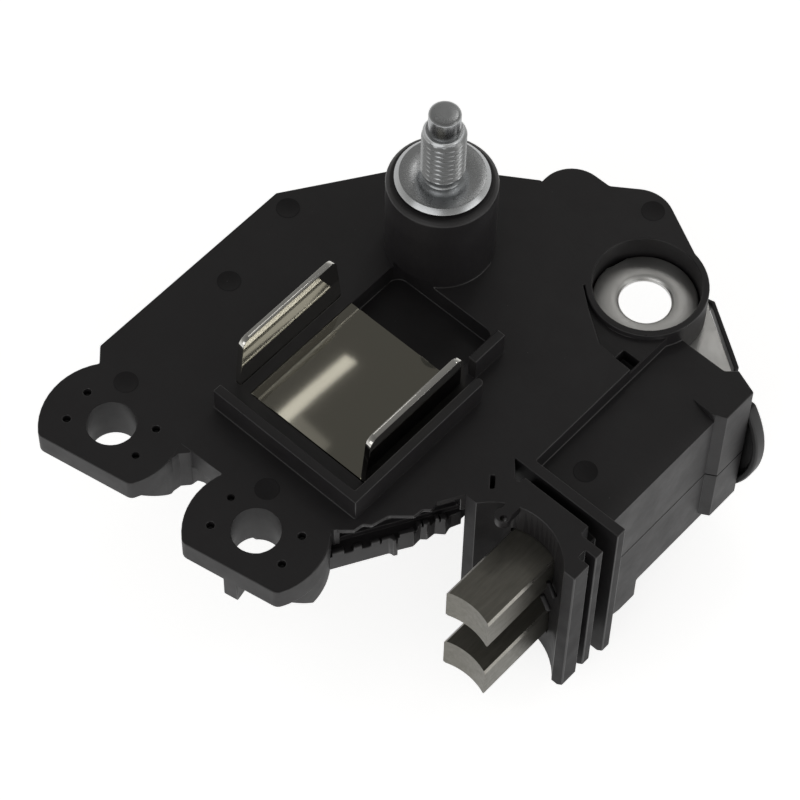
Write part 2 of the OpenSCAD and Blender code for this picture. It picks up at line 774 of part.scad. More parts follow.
module field_route() {
    block(room_x1 - plus_in, box_x0, field_y0, field_y0 + field_w, z_bar, z_under);
    block(box_x0 - bar_t, box_x0, field_y0, field_end, z_under - field_fall, z_under);
    block(box_x0 - bar_t, box_x0, field_end - field_foot, field_end, z_brush_b - 1.5, z_under);
    block(box_x0 - bar_t, box_x0, field_end - field_foot, step_y + term_t - 0.1, z_brush_b - 1.5, z_brush_b + 1.5);
}

module field_bar() {
    color([0.80, 0.62, 0.35]) field_route();
}

module brush(z) {
    w = brush_w / 2;
    h = brush_h / 2;
    ring_y = tip_y - sqrt(ring_r * ring_r - w * w);
    difference() {
        translate([box_x, brush_y1, z]) rotate([90, 0, 0]) linear_extrude(brush_len) polygon([
            [brush_bevel - w, -h], [w - brush_bevel, -h], [w, brush_bevel - h], [w, h - brush_bevel],
            [w - brush_bevel, h], [brush_bevel - w, h], [-w, h - brush_bevel], [-w, brush_bevel - h]
        ]);
        translate([box_x, ring_y, z - h - 1]) cylinder(r = ring_r, h = brush_h + 2);
    }
}

module brush_upper() {
    color([0.36, 0.33, 0.30]) brush(z_brush_a);
}

module brush_lower() {
    color([0.36, 0.33, 0.30]) brush(z_brush_b);
}

// helix swept along the spring, ring after ring
module coil_spring(z) {
    sides = 8;
    per = 14;
    r = (coil_d - wire_d) / 2;
    y0 = brush_y1 + wire_d / 2;
    long = step_y - brush_y1 - wire_d;
    n = coils * per;
    ring = [for (i = [0 : n]) for (k = [0 : sides - 1])
        let(a = 360 * i / per, b = 360 * k / sides, q = r + wire_d / 2 * cos(b))
        [box_x + q * cos(a), y0 + long * i / n + wire_d / 2 * sin(b), z + q * sin(a)]];
    skin = [for (i = [0 : n - 1]) for (k = [0 : sides - 1])
        [i * sides + k, (i + 1) * sides + k, (i + 1) * sides + (k + 1) % sides, i * sides + (k + 1) % sides]];
    polyhedron(ring, concat(skin, [[for (k = [0 : sides - 1]) k]],
        [[for (k = [sides - 1 : -1 : 0]) n * sides + k]]));
}

module brush_spring_upper() {
    color([0.70, 0.70, 0.72]) coil_spring(z_brush_a);
}

module brush_spring_lower() {
    color([0.70, 0.70, 0.72]) coil_spring(z_brush_b);
}

module lead(z) {
    translate([box_x, step_y, z]) rotate([90, 0, 0]) cylinder(d = lead_d, h = step_y - brush_y1);
}

module brush_lead_upper() {
    color([0.75, 0.45, 0.28]) lead(z_brush_a);
}

module brush_lead_lower() {
    color([0.75, 0.45, 0.28]) lead(z_brush_b);
}

module contact_plate(z) {
    w = brush_w / 2 + brush_fit + term_over - 0.05;
    h = brush_h / 2 + brush_fit + term_over / 2 - 0.05;
    block(box_x - w, box_x + w, step_y, step_y + term_t, z - h, z + h);
}

module brush_terminal_upper() {
    color([0.80, 0.62, 0.35]) contact_plate(z_brush_a);
}

module brush_terminal_lower() {
    color([0.80, 0.62, 0.35]) {
        contact_plate(z_brush_b);
        block(box_x0, box_x, step_y, step_y + term_t, z_brush_b - 1.45, z_brush_b + 1.45);
    }
}

module barrel_2d(grow) {
    off = cap_bulge - cap_half;
    intersection() {
        translate([-off, 0]) circle(cap_bulge + grow);
        translate([off, 0]) circle(cap_bulge + grow);
        translate([-big / 2, cap_z1 - cap_mid - grow]) square([big, cap_z0 - cap_z1 + 2 * grow]);
    }
}

module rear_cap() {
    w = brush_w / 2 + brush_fit + term_over - cap_gap;
    color([0.12, 0.12, 0.13]) {
        difference() {
            translate([box_x, box_y1 + cap_back, cap_mid]) rotate([90, 0, 0])
                linear_extrude(cap_back - cap_gap) barrel_2d(0);
            translate([box_x, box_y1 + cap_back - cap_floor, cap_mid]) rotate([90, 0, 0])
                linear_extrude(cap_back) barrel_2d(-cap_wall);
        }
        for (z = [z_brush_a, z_brush_b]) {
            top = min(z + brush_h / 2, cap_z0 - cap_wall - 0.2);
            block(box_x - w, box_x + w, step_y + term_t, box_y1 + cap_back - cap_floor + eps, z - brush_h / 2, top);
        }
    }
}

carrier();
heat_sink();
heat_spreader();
ceramic_substrate();
regulator_chip();
filter_capacitor();
sense_resistor();
potting_gel();
underside_cover();
stud_bolt();
terminal_eyelet();
positive_bar();
ground_bar();
field_bar();
brush_upper();
brush_lower();
brush_spring_upper();
brush_spring_lower();
brush_lead_upper();
brush_lead_lower();
brush_terminal_upper();
brush_terminal_lower();
rear_cap();
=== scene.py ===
"""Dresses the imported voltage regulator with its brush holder: moulded carrier, folded heat sink, stud, eyelet,
sprung brushes and the parts inside, on a pale studio floor seen from the photograph's angle."""

import logging
import math
from dataclasses import dataclass, field
from enum import Enum
from typing import Callable, Iterable, Optional, Sequence

import bmesh
import bpy
from mathutils import Euler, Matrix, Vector
from mathutils.geometry import intersect_line_line_2d, intersect_point_line
from mathutils.kdtree import KDTree


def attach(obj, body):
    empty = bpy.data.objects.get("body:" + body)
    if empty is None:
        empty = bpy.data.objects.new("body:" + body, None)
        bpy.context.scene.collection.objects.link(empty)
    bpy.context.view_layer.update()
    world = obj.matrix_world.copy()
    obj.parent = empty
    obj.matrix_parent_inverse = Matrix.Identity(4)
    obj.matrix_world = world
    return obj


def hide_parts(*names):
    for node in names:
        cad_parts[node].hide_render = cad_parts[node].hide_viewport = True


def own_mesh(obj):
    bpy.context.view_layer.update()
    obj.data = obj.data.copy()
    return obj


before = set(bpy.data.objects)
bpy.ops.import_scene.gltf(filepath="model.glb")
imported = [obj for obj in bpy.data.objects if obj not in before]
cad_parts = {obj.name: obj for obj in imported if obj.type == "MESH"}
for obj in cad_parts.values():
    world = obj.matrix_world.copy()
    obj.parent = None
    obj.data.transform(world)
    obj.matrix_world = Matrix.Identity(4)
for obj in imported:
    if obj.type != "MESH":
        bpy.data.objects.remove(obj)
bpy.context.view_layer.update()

MM = 0.001
LOG = logging.getLogger("regulator")

Point = tuple[float, float, float]
Flat = tuple[float, float]
Colour = tuple[float, float, float]
Socket = bpy.types.NodeSocket
Piece = bpy.types.Object


class Body(Enum):
    """The bodies that pieces ride on."""

    HOUSING = "housing"
    UPPER_BRUSH = "upper_brush"
    LOWER_BRUSH = "lower_brush"


class Side(Enum):
    """The two brush channels."""

    UPPER = "upper"
    LOWER = "lower"


# ---------------------------------------------------------------- finishes


def set_stops(node: bpy.types.Node, stops: Sequence[tuple[float, Colour]]) -> None:
    """Gives a colour ramp its stops, each with its place and colour."""
    points = node.color_ramp.elements
    while len(points) < len(stops):
        points.new(0.5)
    for point, (place, colour) in zip(points, stops):
        point.position = place
        point.color = (*colour, 1)


class Sheet:
    """A material's node tree, with short calls for what the finishes share."""

    def __init__(self, name: str) -> None:
        """Starts an empty material of that name with one Principled shader."""
        self.material = bpy.data.materials.new(name)
        self.material.use_nodes = True
        self.tree = self.material.node_tree
        self.tree.nodes.clear()
        self.out = self.tree.nodes.new("ShaderNodeOutputMaterial")
        self.shader = self.tree.nodes.new("ShaderNodeBsdfPrincipled")
        self.tree.links.new(self.shader.outputs[0], self.out.inputs[0])
        self.coord = self.tree.nodes.new("ShaderNodeTexCoord")

    def node(self, kind: str, inputs: dict[str | int, object], **settings: str) -> bpy.types.Node:
        """Adds a node, sets it and fills its inputs.

        Args:
            kind: The node's type.
            inputs: For each input, the socket that it is linked to or the value that it has.
            settings: The node's own settings.

        Returns:
            The node.
        """
        node = self.tree.nodes.new("ShaderNode" + kind)
        for name, choice in settings.items():
            setattr(node, name, choice)
        for name, value in inputs.items():
            if isinstance(value, Socket):
                self.tree.links.new(value, node.inputs[name])
            else:
                node.inputs[name].default_value = value
        return node

    def place(self, stretch: Point = (1, 1, 1), turn: float = 0.0) -> Socket:
        """Gives Object coordinates, stretched by a factor along each axis and turned round Z by degrees."""
        inputs = {"Scale": stretch, "Rotation": (0, 0, math.radians(turn)), "Vector": self.coord.outputs["Object"]}
        return self.node("Mapping", inputs).outputs[0]

    def noise(
        self, scale: float, detail: float = 2, rough: float = 0.5, stretch: Point = (1, 1, 1), turn: float = 0.0,
    ) -> Socket:
        """Gives a noise value with scale cells to the metre, detail octaves and rough as the finer ones' weight."""
        inputs = {"Scale": scale, "Detail": detail, "Roughness": rough, "Vector": self.place(stretch, turn)}
        return self.node("TexNoise", inputs).outputs["Fac"]

    def cells(self, scale: float, stretch: Point = (1, 1, 1)) -> Socket:
        """Gives the distance to the nearest point of a scatter, with scale cells to the metre."""
        return self.node("TexVoronoi", {"Scale": scale, "Vector": self.place(stretch)}).outputs["Distance"]

    def ramp(self, value: Socket, stops: Sequence[tuple[float, Colour]]) -> Socket:
        """Turns a value into a colour by stops, each with its place and colour."""
        node = self.node("ValToRGB", {0: value})
        set_stops(node, stops)
        return node.outputs[0]

    def span(
        self, value: Socket, low: float, high: float, from_low: float = 0.3, from_high: float = 0.7,
    ) -> Socket:
        """Maps a value between from_low and from_high onto the range from low to high."""
        ends = {"From Min": from_low, "From Max": from_high, "To Min": low, "To Max": high}
        return self.node("MapRange", {**ends, "Value": value}).outputs[0]

    def mix(self, share: Socket, a: Socket, b: Socket) -> Socket:
        """Mixes two colours by the share of the second."""
        return self.node("Mix", {0: share, 6: a, 7: b}, data_type="RGBA").outputs[2]

    def maths(self, kind: str, a: Socket, b: Socket | float) -> Socket:
        """Joins two values by the named operation."""
        return self.node("Math", {0: a, 1: b}, operation=kind).outputs[0]

    def relief(self, layers: Iterable[tuple[Socket, float, float]]) -> None:
        """Gives the surface its relief, layer on layer.

        Args:
            layers: Height, strength and depth in millimetres of each layer.
        """
        last: Optional[Socket] = None
        for height, strength, depth in layers:
            below = {} if last is None else {"Normal": last}
            node = self.node("Bump", {"Strength": strength, "Distance": depth * MM, "Height": height, **below})
            last = node.outputs[0]
        self.wire(last, "Normal")

    def wire(self, socket: Socket, name: str) -> None:
        """Links a socket to a named input of the shader."""
        self.tree.links.new(socket, self.shader.inputs[name])

    def fix(self, **numbers: float) -> None:
        """Sets plain numbers on the shader, with underscores for spaces."""
        for name, number in numbers.items():
            self.shader.inputs[name.replace("_", " ")].default_value = number


@dataclass(frozen=True)
class Moulding:
    """Black glass-filled plastic with a fine satin grain."""

    name: str
    dark: Colour = (0.0128, 0.0114, 0.0128)
    light: Colour = (0.0176, 0.0166, 0.0178)
    gloss_low: float = 0.42
    gloss_high: float = 0.54
    grain: float = 0.16
    sheen_level: float = 0.5

    def build(self) -> bpy.types.Material:
        """Makes the material."""
        s = Sheet(self.name)
        patches = s.noise(170, 4, 0.6)
        fibres = s.noise(900, 3, 0.55, (1, 6, 1), 35)
        dust = s.span(s.cells(420), 1, 0, 0.012, 0.03)
        tone = s.ramp(patches, [(0.3, self.dark), (0.7, self.light)])
        brown = s.ramp(fibres, [(0.35, self.dark), (0.8, (0.019, 0.0175, 0.0185))])
        body = s.mix(s.span(s.noise(60, 2), 0.15, 0.6), tone, brown)
        speck = s.ramp(patches, [(0, (0.10, 0.10, 0.095)), (1, (0.05, 0.05, 0.05))])
        s.wire(s.mix(dust, body, speck), "Base Color")
        s.wire(s.span(s.noise(260, 4, 0.65), self.gloss_low, self.gloss_high), "Roughness")
        s.relief([(s.noise(5200, 2), self.grain, 0.03), (s.noise(420, 3), 0.06, 0.06)])
        s.fix(IOR=1.5, Specular_IOR_Level=self.sheen_level)
        return s.material


@dataclass(frozen=True)
class SheetMetal:
    """Rolled or plated metal, with faint lines along one axis and a soft mottle."""

    name: str
    dark: Colour
    light: Colour
    gloss_low: float
    gloss_high: float
    along: Point = (1, 0.04, 1)
    lines: float = 0.10
    mottle: float = 0.05

    def build(self) -> bpy.types.Material:
        """Makes the material."""
        s = Sheet(self.name)
        streak = s.noise(3800, 3, 0.6, self.along)
        cloud = s.noise(240, 4, 0.6)
        s.wire(s.ramp(s.maths("MULTIPLY_ADD", cloud, 0.65), [(0.15, self.dark), (0.5, self.light)]), "Base Color")
        mean = s.maths("MULTIPLY", s.maths("ADD", streak, cloud), 0.5)
        s.wire(s.span(mean, self.gloss_low, self.gloss_high), "Roughness")
        s.relief([(streak, self.lines, 0.012), (s.noise(700, 3), self.mottle, 0.03)])
        s.fix(Metallic=1.0)
        return s.material


@dataclass(frozen=True)
class PressedCarbon:
    """Copper and graphite pressed into a block: dull, grainy, with fine grinding lines."""

    name: str
    dark: Colour = (0.185, 0.178, 0.156)
    light: Colour = (0.240, 0.232, 0.205)
    gloss_low: float = 0.34
    gloss_high: float = 0.48

    def build(self) -> bpy.types.Material:
        """Makes the material."""
        s = Sheet(self.name)
        lines = s.noise(4200, 2, 0.5, (1, 0.05, 1))
        grit = s.cells(3600)
        tone = s.ramp(s.noise(2400, 4, 0.6, (1, 0.12, 1)), [(0.3, self.dark), (0.7, self.light)])
        copper = s.ramp(grit, [(0.0, (0.24, 0.195, 0.15)), (0.45, self.light)])
        s.wire(s.mix(s.span(grit, 0.45, 0.0, 0.05, 0.3), tone, copper), "Base Color")
        s.wire(s.span(s.noise(1500, 4, 0.6), self.gloss_low, self.gloss_high), "Roughness")
        s.relief([(lines, 0.16, 0.015), (grit, 0.12, 0.02)])
        s.fix(Metallic=0.85)
        return s.material


@dataclass(frozen=True)
class Compound:
    """Plain non-metal for the parts inside: ceramic, silicon, gel."""

    name: str
    colour: Colour
    shade: Colour
    gloss: float = 0.35
    clear: float = 0.0
    grain: float = 900.0

    def build(self) -> bpy.types.Material:
        """Makes the material."""
        s = Sheet(self.name)
        s.wire(s.ramp(s.noise(self.grain, 4, 0.6), [(0.3, self.shade), (0.7, self.colour)]), "Base Color")
        s.wire(s.span(s.noise(self.grain * 2, 3), self.gloss, self.gloss + 0.12), "Roughness")
        s.relief([(s.noise(self.grain * 3, 2), 0.08, 0.02)])
        s.fix(Transmission_Weight=self.clear)
        return s.material


class Finishes:
    """Every finish of the part, made once and looked up by the record's material slot."""

    def __init__(self) -> None:
        """Builds the materials."""
        round_grain = (1, 1, 1)
        made = [
            Moulding("black_plastic"),
            # Lighter than the body plastic: a painted highlight on the rounded edges, and also lower roughness.
            Moulding("black_plastic_edge_painted_highlight", (0.016, 0.015, 0.016), (0.022, 0.021, 0.022), 0.26, 0.36, 0.08),
            # Darker and duller plastic: the matte of the ejector marks, and painted shade on the collar faces below the
            # plate.
            Moulding("black_plastic_dull_painted_shade", (0.0112, 0.0100, 0.0112), (0.0150, 0.0142, 0.0152), 0.50, 0.62, 0.16, 0.28),
            Moulding("cover_plastic", (0.013, 0.013, 0.0135), (0.018, 0.018, 0.019), 0.38, 0.50, 0.12),
            SheetMetal("sink_metal", (0.56, 0.55, 0.52), (0.70, 0.69, 0.66), 0.044, 0.050, lines=0.004, mottle=0.002),
            SheetMetal(
                "spreader_metal", (0.215, 0.205, 0.172), (0.26, 0.25, 0.212), 0.030, 0.036, (1, 0.05, 1), 0.005, 0.003,
            ),
            SheetMetal("stud_steel", (0.36, 0.375, 0.39), (0.48, 0.49, 0.50), 0.24, 0.32, round_grain, 0.02, 0.03),
            SheetMetal("tinned_metal", (0.55, 0.545, 0.53), (0.74, 0.735, 0.72), 0.30, 0.46, round_grain, 0.05, 0.08),
            SheetMetal("bare_brass", (0.66, 0.50, 0.24), (0.80, 0.64, 0.36), 0.22, 0.38),
            SheetMetal("spring_steel", (0.50, 0.50, 0.51), (0.68, 0.68, 0.69), 0.18, 0.30, round_grain),
            SheetMetal("copper_braid", (0.56, 0.27, 0.15), (0.78, 0.44, 0.28), 0.28, 0.44, round_grain),
            PressedCarbon("carbon"),
            # Lighter than the carbon: a painted highlight on the brushes' bevelled long edges, and also lower
            # roughness.
            PressedCarbon("carbon_edge_painted_highlight", (0.27, 0.26, 0.235), (0.36, 0.35, 0.32), 0.24, 0.34),
            Compound("ceramic", (0.82, 0.80, 0.74), (0.74, 0.72, 0.66)),
            Compound("silicon", (0.16, 0.18, 0.24), (0.11, 0.12, 0.17), 0.15),
            Compound("component_body", (0.52, 0.38, 0.24), (0.42, 0.30, 0.18), 0.30),
            Compound("gel", (0.78, 0.76, 0.68), (0.70, 0.68, 0.60), 0.12, 0.55, 120.0),
        ]
        self.known: dict[str, bpy.types.Material] = {finish.name: finish.build() for finish in made}

    def get(self, name: str) -> bpy.types.Material:
        """Gives a finish by its name."""
        return self.known[name]


# ---------------------------------------------------------------- bench


class Bench:
    """Hand moves in edit mode that every sub-assembly uses.

    Welding joins points nearer than WELD millimetres, and faces within FLAT degrees become one. A rounding takes at
    most SIDE_SHARE of a short edge that leaves it sideways, which is one whose cosine to it is under ALONG. Where the
    rounding folds a face by more than FOLD_AREA square metres and FOLD_SHARE of the face together, the edges nearer
    than REACH roundings are narrowed by EASE_BY. Half of the ROUNDS do that, and the others leave those edges sharp.
    """

    WELD = 0.002
    FLAT = 0.8
    SIDE_SHARE = 0.4
    ALONG = 0.85
    FOLD_AREA = 1.3e-8
    FOLD_SHARE = 4e-6
    REACH = 2.2
    EASE_BY = 0.4
    ROUNDS = 24

    @staticmethod
    def clear() -> None:
        """Leaves edit mode and selects nothing."""
        if bpy.context.mode != "OBJECT":
            bpy.ops.object.mode_set(mode="OBJECT")
        bpy.ops.object.select_all(action="DESELECT")

    @staticmethod
    def take(piece: Piece) -> Piece:
        """Selects one piece alone and makes it active."""
        Bench.clear()
        piece.select_set(True)
        bpy.context.view_layer.objects.active = piece
        return piece

    @staticmethod
    def edit(piece: Piece) -> None:
        """Opens a piece in edit mode with all of it selected."""
        Bench.take(piece)
        bpy.ops.object.mode_set(mode="EDIT")
        bpy.ops.mesh.select_all(action="SELECT")

    @staticmethod
    def face_out() -> None:
        """Turns every face of the opened piece outward and closes it."""
        bpy.ops.mesh.select_all(action="SELECT")
        bpy.ops.mesh.normals_make_consistent(inside=False)
        Bench.clear()

    @staticmethod
    def keep(name: str) -> Piece:
        """Names the new primitive and moves its place into its mesh.

        Args:
            name: The piece's name.

        Returns:
            The piece, at the origin.
        """
        piece = bpy.context.active_object
        piece.name = name
        piece.data.name = name
        bpy.ops.object.transform_apply(location=True, rotation=True, scale=True)
        return piece

    @staticmethod
    def block(name: str, low: Point, high: Point) -> Piece:
        """Adds a block between two corners, in millimetres.

        Args:
            name: The piece's name.
            low: Lowest corner.
            high: Highest corner.

        Returns:
            The piece.
        """
        Bench.clear()
        middle = [(a + b) / 2 * MM for a, b in zip(low, high)]
        size = [(b - a) * MM for a, b in zip(low, high)]
        bpy.ops.mesh.primitive_cube_add(size=1, location=middle, scale=size)
        return Bench.keep(name)

    @staticmethod
    def rod(
        name: str, centre: Point, radius: float, length: float, sides: int, tilt: Point = (0, 0, 0),
    ) -> Piece:
        """Adds a round rod, in millimetres.

        Args:
            name: The piece's name.
            centre: Middle of the rod.
            radius: Its radius.
            length: Its length.
            sides: Sides of its outline.
            tilt: Its turn in degrees, from standing along Z.

        Returns:
            The piece.
        """
        Bench.clear()
        bpy.ops.mesh.primitive_cylinder_add(
            vertices=sides, radius=radius * MM, depth=length * MM,
            location=[c * MM for c in centre], rotation=[math.radians(t) for t in tilt],
        )
        return Bench.keep(name)

    @staticmethod
    def chain(name: str, points: Sequence[Point], close: bool) -> Piece:
        """Draws a line of edges from point to point, by pulling a vertex along.

        Args:
            name: The piece's name.
            points: The points, in millimetres.
            close: Whether the line returns to its start and is filled.

        Returns:
            The piece, left in edit mode with everything selected.
        """
        Bench.clear()
        start = Vector(points[0]) * MM
        bpy.ops.mesh.primitive_plane_add(size=MM, location=start)
        piece = Bench.keep(name)
        Bench.edit(piece)
        bpy.ops.mesh.merge(type="CENTER")
        for last, point in zip(points, points[1:]):
            step = (Vector(point) - Vector(last)) * MM
            bpy.ops.mesh.extrude_region_move(TRANSFORM_OT_translate={"value": step})
        bpy.ops.mesh.select_all(action="SELECT")
        if close:
            bpy.ops.mesh.edge_face_add()
        return piece

    @staticmethod
    def plate(name: str, outline: Sequence[Point], push: Point) -> Piece:
        """Fills an outline and pulls it out to a thickness.

        Args:
            name: The piece's name.
            outline: Points of the outline, in millimetres.
            push: How far and which way it is pulled, in millimetres.

        Returns:
            The piece.
        """
        piece = Bench.chain(name, outline, True)
        bpy.ops.mesh.extrude_region_move(TRANSFORM_OT_translate={"value": Vector(push) * MM})
        Bench.face_out()
        return piece

    @staticmethod
    def turned(name: str, at: Flat, profile: Sequence[Flat], steps: int) -> Piece:
        """Spins a profile of radius and height round an upright axis.

        Args:
            name: The piece's name.
            at: Place of the axis, in millimetres.
            profile: Radius and height of each point, in millimetres.
            steps: Steps of the full turn.

        Returns:
            The piece.
        """
        piece = Bench.chain(name, [(at[0] + r, at[1], z) for r, z in profile], False)
        bpy.ops.mesh.spin(
            steps=steps, angle=math.tau, center=(at[0] * MM, at[1] * MM, 0), axis=(0, 0, 1), use_auto_merge=True,
        )
        bpy.ops.mesh.select_all(action="SELECT")
        bpy.ops.mesh.remove_doubles(threshold=Bench.WELD * MM)
        Bench.face_out()
        return piece

    @staticmethod
    def copied(node: str, name: str) -> Piece:
        """Copies a solid's mesh and merges its loose triangles into clean faces.

        Args:
            node: The solid.
            name: The new piece's name.

        Returns:
            The piece.
        """
        piece = bpy.data.objects.new(name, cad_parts[node].data.copy())
        piece.data.materials.clear()
        bpy.context.scene.collection.objects.link(piece)
        Bench.edit(piece)
        bpy.ops.mesh.remove_doubles(threshold=Bench.WELD * MM)
        Bench.edit(piece)
        bpy.ops.mesh.dissolve_limited(angle_limit=math.radians(Bench.FLAT))
        Bench.clear()
        return piece

    @staticmethod
    def modify(piece: Piece, kind: str, **settings: object) -> Piece:
        """Adds a modifier with its settings and applies it.

        Args:
            piece: The piece.
            kind: The modifier's type.
            settings: Its settings.

        Returns:
            The piece.
        """
        Bench.take(piece)
        step = piece.modifiers.new(kind.title(), kind)
        for name, value in settings.items():
            setattr(step, name, value)
        bpy.ops.object.modifier_apply(modifier=step.name)
        return piece

    @staticmethod
    def soften(
        piece: Piece, width: float, segments: int = 2, angle: float = 32.0, edge_slot: int = -1,
    ) -> Piece:
        """Rounds the edges sharper than an angle in degrees by a width in millimetres, in their own slot or -1."""
        return Bench.modify(
            piece, "BEVEL", width=width * MM, segments=segments, limit_method="ANGLE",
            angle_limit=math.radians(angle), use_clamp_overlap=True, material=edge_slot, miter_outer="MITER_ARC",
        )

    @staticmethod
    def round_edges(piece: Piece, width: float, edge_slot: int, angle: float = 32.0) -> Piece:
        """Rounds the sharp edges, narrower where the full width would fold a face.

        Args:
            piece: The piece.
            width: Full width of the rounding, in millimetres.
            edge_slot: Material slot of the rounded edges.
            angle: Edges sharper than this are rounded, in degrees.

        Returns:
            The piece.
        """
        sharp = piece.data.copy()
        shares = Bench.edge_shares(sharp, width * MM, angle)
        for turn in range(Bench.ROUNDS):
            piece.data = sharp.copy()
            layer = piece.data.attributes.new("bevel_weight_edge", "FLOAT", "EDGE")
            layer.data.foreach_set("value", shares)
            Bench.modify(
                piece, "BEVEL", width=width * MM, segments=2, limit_method="WEIGHT", use_clamp_overlap=False,
                material=edge_slot, miter_outer="MITER_ARC",
            )
            folds = Bench.folds(piece)
            LOG.info("edge rounding: %d places where a face folds", len(folds))
            if not folds:
                return piece
            ease_by = Bench.EASE_BY if turn < Bench.ROUNDS // 2 else 0.0
            Bench.ease(sharp, shares, folds, width * MM * Bench.REACH, ease_by)
        piece.data = sharp.copy()
        return Bench.soften(piece, width, 2, angle, edge_slot)

    @staticmethod
    def edge_shares(mesh: bpy.types.Mesh, width: float, angle: float) -> list[float]:
        """Gives every edge its share of the full rounding: 0 on flat ones, less where a short edge lies beside it.

        Args:
            mesh: The sharp mesh.
            width: Full width of the rounding, in metres.
            angle: Edges sharper than this are rounded, in degrees.

        Returns:
            The share of each edge.
        """
        work = bmesh.new()
        work.from_mesh(mesh)
        work.edges.ensure_lookup_table()
        shares = [0.0] * len(work.edges)
        for edge in work.edges:
            if len(edge.link_faces) == 2 and edge.calc_face_angle(0.0) > math.radians(angle):
                shares[edge.index] = min(1.0, Bench.room_beside(edge) * Bench.SIDE_SHARE / width)
        work.free()
        return shares

    @staticmethod
    def room_beside(edge: bmesh.types.BMEdge) -> float:
        """Gives the length of the shortest edge that leaves an edge sideways, in metres."""
        along = (edge.verts[1].co - edge.verts[0].co).normalized()
        room = 1.0
        for other in (e for v in edge.verts for e in v.link_edges if e is not edge):
            way = other.verts[1].co - other.verts[0].co
            if way.length > 0 and abs(way.normalized().dot(along)) < Bench.ALONG:
                room = min(room, way.length)
        return room

    @staticmethod
    def folds(piece: Piece) -> list[Vector]:
        """Finds the places where a face's own outline crosses itself."""
        mesh = piece.data
        mesh.calc_loop_triangles()
        filled = [0.0] * len(mesh.polygons)
        for part in mesh.loop_triangles:
            filled[part.polygon_index] += part.area
        found: list[Vector] = []
        for face in mesh.polygons:
            if filled[face.index] - face.area < Bench.FOLD_AREA + face.area * Bench.FOLD_SHARE:
                continue
            ring = [mesh.vertices[v].co.copy() for v in face.vertices]
            found += Bench.crossings(ring, face.normal) or ring
        return found

    @staticmethod
    def crossings(ring: Sequence[Vector], normal: Vector) -> list[Vector]:
        """Gives the ends of the edges that cross each other in a flat outline.

        Args:
            ring: The outline's points.
            normal: The direction that it faces.

        Returns:
            The ends.
        """
        across = normal.orthogonal().normalized()
        up = normal.cross(across)
        flat = [Vector((point.dot(across), point.dot(up))) for point in ring]
        ends: list[Vector] = []
        count = len(ring)
        for i in range(count):
            for j in range(i + 2, count):
                a, b, c, d = flat[i], flat[(i + 1) % count], flat[j], flat[(j + 1) % count]
                if (j + 1) % count == i or max(a.x, b.x) < min(c.x, d.x) or max(c.x, d.x) < min(a.x, b.x):
                    continue
                if intersect_line_line_2d(a, b, c, d) is not None:
                    ends += [ring[i], ring[(i + 1) % count], ring[j], ring[(j + 1) % count]]
        return ends

    @staticmethod
    def ease(mesh: bpy.types.Mesh, shares: list[float], folds: Sequence[Vector], reach: float, by: float) -> None:
        """Narrows the rounding of the edges near folds.

        Args:
            mesh: The sharp mesh.
            shares: The share of each edge, changed in place.
            folds: The places of the folds.
            reach: How near counts, in metres.
            by: The factor on their shares.
        """
        tree = KDTree(len(folds))
        for i, place in enumerate(folds):
            tree.insert(place, i)
        tree.balance()
        for edge in mesh.edges:
            if shares[edge.index] == 0:
                continue
            a, b = (mesh.vertices[v].co for v in edge.vertices)
            for place, _, _ in tree.find_range((a + b) / 2, (b - a).length / 2 + reach):
                near, along = intersect_point_line(place, a, b)
                near = a if along < 0 else b if along > 1 else near
                if (near - place).length < reach:
                    shares[edge.index] *= by
                    break

    @staticmethod
    def cut(piece: Piece, at: Point, normal: Point) -> Piece:
        """Cuts off what lies beyond a plane and closes the cut.

        Args:
            piece: The piece.
            at: A point of the plane, in millimetres.
            normal: Its direction, towards what goes.

        Returns:
            The piece.
        """
        Bench.edit(piece)
        bpy.ops.mesh.bisect(plane_co=Vector(at) * MM, plane_no=normal, use_fill=True, clear_outer=True)
        Bench.clear()
        return piece

    @staticmethod
    def joined(name: str, pieces: Sequence[Piece]) -> Piece:
        """Joins pieces into the first of them.

        Args:
            name: Name of the result.
            pieces: The pieces.

        Returns:
            The joined piece.
        """
        Bench.clear()
        for piece in pieces:
            piece.select_set(True)
        bpy.context.view_layer.objects.active = pieces[0]
        bpy.ops.object.join()
        pieces[0].name = name
        return pieces[0]

    @staticmethod
    def move_points(piece: Piece, rule: Callable[[Vector], Optional[Vector]]) -> Piece:
        """Moves the points of a piece by a rule, in millimetres.

        Args:
            piece: The piece.
            rule: Gives a point's new place, or None where it stays.

        Returns:
            The piece.
        """
        for vertex in piece.data.vertices:
            new = rule(vertex.co / MM)
            if new is not None:
                vertex.co = new * MM
        piece.data.update()
        return piece

    @staticmethod
    def shade(piece: Piece, angle: float = 30.0, weighted: bool = False) -> Piece:
        """Shades smooth, with edges above the angle kept sharp.

        Args:
            piece: The piece.
            angle: The angle, in degrees.
            weighted: Whether large faces keep their own direction up to their rounded edges.

        Returns:
            The piece.
        """
        Bench.take(piece)
        bpy.ops.object.shade_smooth_by_angle(angle=math.radians(angle))
        if weighted:
            Bench.modify(piece, "WEIGHTED_NORMAL", mode="FACE_AREA", weight=50, keep_sharp=True)
        Bench.clear()
        return piece


def polar(radius: float, angle: float) -> Flat:
    """Gives a flat point by its radius and its angle in degrees."""
    return radius * math.cos(math.radians(angle)), radius * math.sin(math.radians(angle))


def arc(centre: Flat, radius: float, start: float, stop: float, steps: int) -> list[Flat]:
    """Gives points along an arc between two angles in degrees, ends included."""
    turns = [start + (stop - start) * i / steps for i in range(steps + 1)]
    return [(centre[0] + polar(radius, t)[0], centre[1] + polar(radius, t)[1]) for t in turns]


